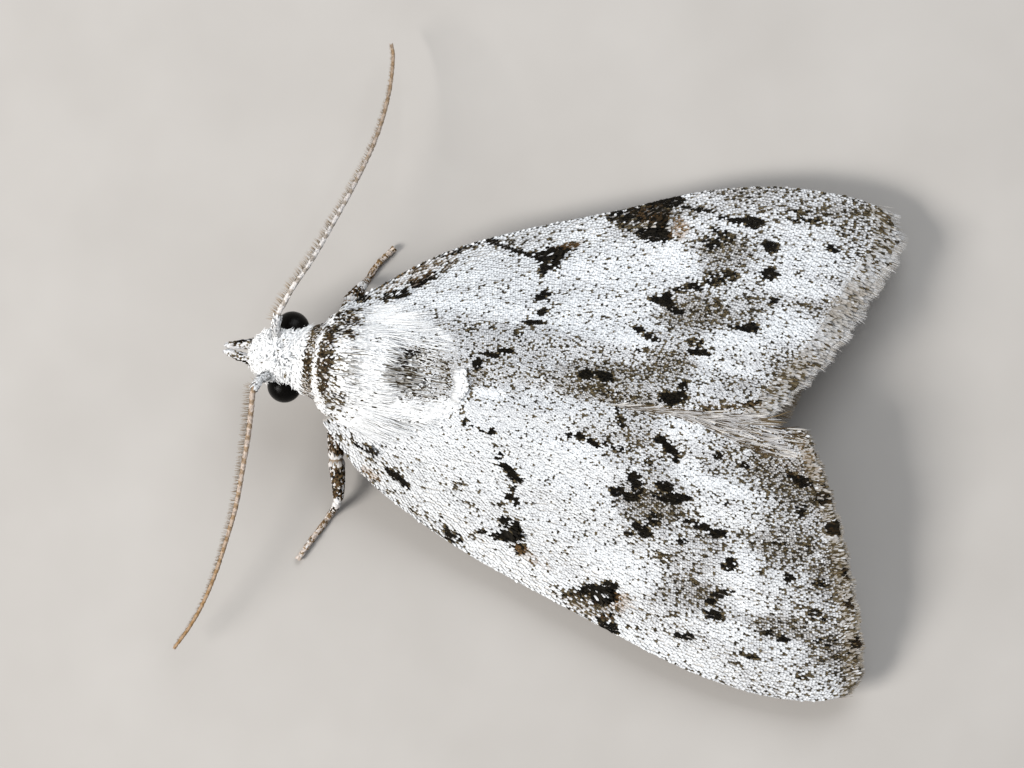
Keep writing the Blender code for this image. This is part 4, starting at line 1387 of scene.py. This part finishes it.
# %% [markdown]
# ## Feelers
# A feeler is a thread of about fifty joints that swell a little. They are clothed with pale scales above,
# ringed with brown, and carry fine bristles on the front side. The stout first joint is fleecy all round.
# The right feeler starts paler and browns towards its tip.

# %% Two feelers
ANTENNA = {
    "left": ((.3, -4.54, 1.46), (.42, -4.69, 1.7), (.6, -4.77, 1.74), (.82, -4.77, 1.7), (1.32, -4.76, 1.6),
             (1.91, -4.78, 1.44), (2.49, -4.81, 1.27), (3.09, -4.9, 1.08), (3.58, -4.99, .93),
             (4.1, -5.13, .78), (4.5, -5.29, .66), (4.86, -5.48, .54)),
    "right": ((.26, -4.48, 1.46), (.42, -4.55, 1.72), (.64, -4.55, 1.8), (.82, -4.49, 1.82),
              (1.12, -4.37, 1.82), (1.57, -4.15, 1.76), (2.19, -3.9, 1.6), (2.98, -3.61, 1.38),
              (3.67, -3.41, 1.14), (4.42, -3.31, .86), (5, -3.33, .62), (5.18, -3.38, .54))}
FEELER_LOOKS = {"left": (0.72, 0.55, 0.0), "right": (0.83, 0.24, 1.0)}     # paleness, warmth, browning
JOINTS = 52
FEELER_SCALES, FLEECE_SCALES, BRISTLES_OF_JOINT = 1900, 320, 12
THREAD = thread_finish("feeler_thread", (0.45, 0.38, 0.30), (0.10, 0.065, 0.045), 0.4)


def swelling(share):
    joint = 0.5 + 0.5 * np.cos(share * JOINTS * 2 * math.pi)
    return (0.044 - 0.022 * share) * (0.86 + 0.14 * joint) + 0.020 * smoothstep(0.07, 0.0, share)


for side, points in ANTENNA.items():
    sign, (pale, warmth, browning) = SIDES[side], FEELER_LOOKS[side]
    line = along(mirrored(points, sign))
    thread("antenna_%s_thread" % side, "antenna", ["antenna_" + side], line, swelling, JOINTS * 6,
           THREAD, 0.55)
    share, turn = draw(FEELER_SCALES) ** 1.05, about(0.0, 0.9, FEELER_SCALES)
    ringed = (np.sin(share * JOINTS * math.pi) > 0.25) & (share > 0.07)
    browning, far = browning * smoothstep(0.30, 0.75, share), smoothstep(0.3, 1.0, share)
    tone = pale - 0.10 * browning - ringed * (0.24 - 0.08 * browning) + 0.10 * draw(FEELER_SCALES)
    tone = np.where(share < 0.07, 0.93, tone) - 0.14 * far
    warm = warmth * smoothstep(0.02, 0.09, share) + 0.25 * far + 0.12 * browning
    thin = 1.1 - 0.4 * share
    clothe("antenna_%s_scales" % side, "antenna", LEG_SCALES, line, share, turn, 0.9 * swelling(share),
           turns=8, length=0.085 * thin, width=0.036 * thin, thick=0.008, lift=0.14, droop=0.08,
           roll=about(0, 0.2, FEELER_SCALES), tone=tone, warm=warm)
    count = FLEECE_SCALES
    share, turn = between(0.005, 0.085, count), between(-math.pi, math.pi, count)
    tone, warm = draw_tones(np.full(count, 0.03), 0.25, 0.10)
    clothe("antenna_%s_fleece" % side, "antenna", BODY_SCALES, line, share, turn, 0.05, turns=8,
           length=between(0.08, 0.12, count), width=0.036, thick=0.010, lift=between(0.15, 0.55, count),
           droop=0.2, roll=about(0, 0.3, count), tone=tone, warm=warm)
    count = JOINTS * BRISTLES_OF_JOINT
    joint = np.repeat((np.arange(JOINTS) + 0.5) / JOINTS, BRISTLES_OF_JOINT)
    share = 0.08 + 0.92 * joint + about(0, 0.006, count)
    turn = sign * (math.pi / 2) + between(-0.9, 0.9, count)
    middle, out, onward = around(line, np.clip(share, 0, 1), turn)
    lay("antenna_%s_bristles" % side, "antenna", HAIR, LEG_SCALES, middle, out + 0.35 * onward,
        np.cross(out, onward), length=0.19 * (1.05 - 0.75 * share) * between(0.8, 1.05, count), width=0.006,
        thick=0.005, sway=0.15, tone=0.45, warm=0.3, sheet=(0.25, share))

# %% [markdown]
# ## Palps
# Two palps stick out in front like a snout: brushes of scales round a short jointed core, dark at the
# sides, grey and white in the middle, with white tips. The core is a thread, and the brush is laid on it.

# %% The snout of two palps
PALP = ((.13, -4.62, 1.02), (.125, -4.85, 1.03), (.1, -5.05, 1.03), (.075, -5.18, 1.04), (.06, -5.27, 1.04))
PALP_SKIN = thread_finish("palp_skin", (0.30, 0.24, 0.18), (0.05, 0.035, 0.028), 0.3)
PALP_SCALES = 1100


def palp_girth(share):
    return (0.055 - 0.02 * share) * smoothstep(1.04, 0.80, share)


for side, sign in SIDES.items():
    line = along(mirrored(PALP, sign))
    stands_for = ["palps"] if side == "left" else []       # one solid holds both palps
    thread("palp_%s_core" % side, "palp_scales", stands_for, line, palp_girth, 24, PALP_SKIN, 0.3)
    count = PALP_SCALES
    share, turn = between(0.05, 0.98, count), between(-math.pi, math.pi, count)
    outer = smoothstep(-0.2, 0.6, around(line, share, turn)[1][:, 0] * sign)
    dark = np.clip(0.30 + 0.48 * outer - 0.9 * smoothstep(0.72, 0.9, share) * (1 - 0.5 * outer), 0.03, 0.97)
    tone, warm = draw_tones(dark, 0.5, 0.10)
    clothe("palp_%s_brush" % side, "palp_scales", BODY_SCALES, line, share, turn,
           0.05 - 0.015 * share - 0.03 * smoothstep(0.85, 1.0, share),
           length=between(0.13, 0.20, count) * (1.0 - 0.40 * share), width=0.045, thick=0.010,
           lift=between(0.20, 0.60, count) * (1 - 0.45 * share), droop=0.20, roll=about(0, 0.2, count),
           tone=tone, warm=warm)

# %% [markdown]
# ## Legs
# Each leg has a stout thigh, a shin and a foot of five short joints. Brown and white scales lie along
# them, with a white ring at every joint. The whole leg is one thread, which tapers towards its tip and
# narrows at each joint. The foot rests on the floor in its flat-footed solid's place, and the tips of a
# few of its scales dip a trace below.

# %% Six clothed legs
FOOT = 0.065                   # height of a foot's middle over the floor
LEGS = {                       # thigh, knee, ankle, and then heel, middle and tip of the foot
    "foreleg_left": ((.36, -3.55, .75), (1.45, -3.35, .58), (2.14, -3.23, .36), (2.46, -3.34, FOOT),
                     (2.85, -3.55, FOOT), (3.18, -3.72, FOOT)),
    "foreleg_right": ((.36, -3.42, .75), (.92, -3.47, .58), (1.22, -3.36, .34), (1.4, -3.26, FOOT),
                      (1.68, -3.12, FOOT), (1.93, -2.93, FOOT)),
    "midleg_left": ((.36, -2.8, .7), (1.14, -2.52, .56), (1.44, -1.85, .3), (1.52, -1.58, FOOT),
                    (1.64, -1.15, FOOT), (1.75, -.74, FOOT)),
    "midleg_right": ((.36, -2.8, .7), (1.04, -2.5, .54), (1.3, -1.85, .28), (1.37, -1.58, FOOT),
                     (1.5, -1.15, FOOT), (1.61, -.76, FOOT)),
    "hindleg_left": ((.36, -2.12, .68), (.84, -1.5, .46), (.86, -.1, .26), (.89, .22, FOOT),
                     (1.02, 1.2, FOOT), (1.15, 2.15, FOOT)),
    "hindleg_right": ((.36, -2.12, .68), (.82, -1.5, .46), (.84, -.2, .26), (.87, .12, FOOT),
                      (.98, 1.1, FOOT), (1.09, 2, FOOT))}
FOOT_JOINTS = np.array([0.0, 0.38, 0.58, 0.74, 0.88])      # along the foot
LEG_SCALE_COUNT = 2600
FLOOR_GAP = 0.03               # no scale has its root lower than this
LEG_SKIN = thread_finish("leg_skin", (0.40, 0.30, 0.20), (0.07, 0.045, 0.030), 0.3)


def nearest(share, joints):
    """How far each fraction is from the nearest joint."""
    return np.abs(share[:, None] - joints).min(1)


for name, joints in LEGS.items():
    hip = (joints[0][0] - 0.08, joints[0][1], joints[0][2] + 0.22)         # inside the body
    points = mirrored((hip, *joints), SIDES[name.split("_")[1]])
    steps = np.linalg.norm(np.diff(points, axis=0), axis=1)
    knee, ankle, heel = np.cumsum(steps)[1:4] / steps.sum()
    line = along(points)
    foot_joints = heel + (1 - heel) * FOOT_JOINTS

    def girth(share):
        thick = 0.085 * smoothstep(heel, knee, share) + FOOT * 0.62
        return thick * (0.72 + 0.28 * smoothstep(0.0, 0.03, nearest(share, (knee, ankle, *foot_joints))))

    thread(name + "_skin", "leg", [name], line, girth, 90, LEG_SKIN, 0.4)
    share = draw(LEG_SCALE_COUNT) ** 1.25 * 0.985
    turn = between(-math.pi, math.pi, LEG_SCALE_COUNT)
    white = np.maximum(smoothstep(0.035, 0.015, nearest(share, (knee, ankle))),
                       0.7 * smoothstep(0.018, 0.008, nearest(share, foot_joints)))
    foot = smoothstep(ankle, heel, share)
    tone, warm = draw_tones(np.clip(0.80 - 0.25 * foot - white, 0.02, 0.95), 0.4, 0.25 + 0.35 * foot)
    height = girth(share) * 0.94
    swell = np.maximum(girth(share + 0.006) - girth(share - 0.006), 0) / (0.012 * steps.sum())
    middle, out, _ = around(line, share, turn)
    clear = middle[:, 2] + out[:, 2] * height > FLOOR_GAP
    share, turn, height, swell, tone, warm = columns(share, turn, height, swell, tone, warm)[clear].T
    clothe(name + "_scales", "leg", LEG_SCALES, line, share, turn, height, length=0.11, width=0.05,
           thick=0.010, lift=0.12 + np.minimum(0.5 * swell, 0.25), droop=0.08,
           roll=about(0, 0.15, len(share)), tone=tone, warm=warm)

# %% [markdown]
# ## Floor
# The floor is plain and pale, with faint clouds so that it doesn't look like paper cut from one colour.

# %% Floor
def floor_finish():
    finish = Finish("pale_floor")
    cloud = finish.noise(2.5, 3.0)
    finish.set(base_color=finish.ramp(cloud, (0.3, (0.33, 0.31, 0.29)), (0.7, (0.36, 0.34, 0.32))),
               roughness=0.75 + 0.1 * cloud)
    return finish.material


FLOOR_SIZE = 400
floor = start(bpy.ops.mesh.primitive_plane_add, "floor", size=FLOOR_SIZE * MM, location=(0, 0, 0))
floor.data.materials.append(floor_finish())
print("floor: %d mm across" % FLOOR_SIZE)

# %% [markdown]
# ## Light
# One large soft light shines from the front and the moth's left, and a larger, weaker and cooler one from
# its right, so that each scale has a lit side and a soft shadow. A pale room fills what they miss.

# %% Lights
ROOM_LIGHT = 0.42
world = bpy.data.worlds.new("soft_room")
world.use_nodes = True
room = world.node_tree.nodes["Background"].inputs
room["Color"].default_value = (0.93, 0.96, 1.0, 1.0)
room["Strength"].default_value = ROOM_LIGHT
bpy.context.scene.world = world


def soft_light(name, place, size, power, colour):
    """A square soft light that faces the moth."""
    lamp = bpy.data.lights.new(name, 'AREA')
    lamp.size = size * MM
    lamp.energy = power
    lamp.color = colour
    stand = bpy.data.objects.new(name, lamp)
    stand.location = np.array(place) * MM
    stand.rotation_euler = (-stand.location).to_track_quat('-Z', 'Y').to_euler()
    bpy.context.scene.collection.objects.link(stand)
    print("%s light: %.2f watts, %d mm across" % (name, power, size))


soft_light("key", (55, -95, 80), 50, 0.29, (1.0, 0.98, 0.95))
soft_light("fill", (-90, 10, 90), 90, 0.14, (0.92, 0.96, 1.0))
bpy.context.scene.view_settings.view_transform = 'Standard'
bpy.context.scene.view_settings.look = 'None'

# %% [markdown]
# ## Camera
# The camera looks straight down through a long lens, which keeps the wings' true proportions.

# %% Camera
TURN = math.radians(8)         # the moth lies turned by this much in the view
AIM = (-0.07, -0.71)           # lateral and y of the middle of the view
VIEW_WIDTH, CAMERA_HEIGHT = 16.38, 120.0
WINGS_HEIGHT = 1.2             # where the view's width is measured
SENSOR = 36.0
lens = bpy.data.cameras.new("camera")
lens.sensor_width = SENSOR
lens.lens = SENSOR * (CAMERA_HEIGHT - WINGS_HEIGHT) / VIEW_WIDTH
lens.clip_start = 5 * MM
lens.clip_end = 2000 * MM
camera = bpy.data.objects.new("camera", lens)
camera.location = (AIM[0] * MM, AIM[1] * MM, CAMERA_HEIGHT * MM)
camera.rotation_euler = (0, 0, math.pi / 2 + TURN)
bpy.context.scene.collection.objects.link(camera)
bpy.context.scene.camera = camera
print("lens: %.0f mm" % lens.lens)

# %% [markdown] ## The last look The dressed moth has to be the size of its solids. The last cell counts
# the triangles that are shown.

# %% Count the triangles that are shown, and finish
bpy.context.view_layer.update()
triangles = sum(len(polygon.vertices) - 2 for thing in bpy.data.objects
                if thing.type == 'MESH' and not thing.hide_render for polygon in thing.data.polygons)
print("triangles shown: %d" % triangles)
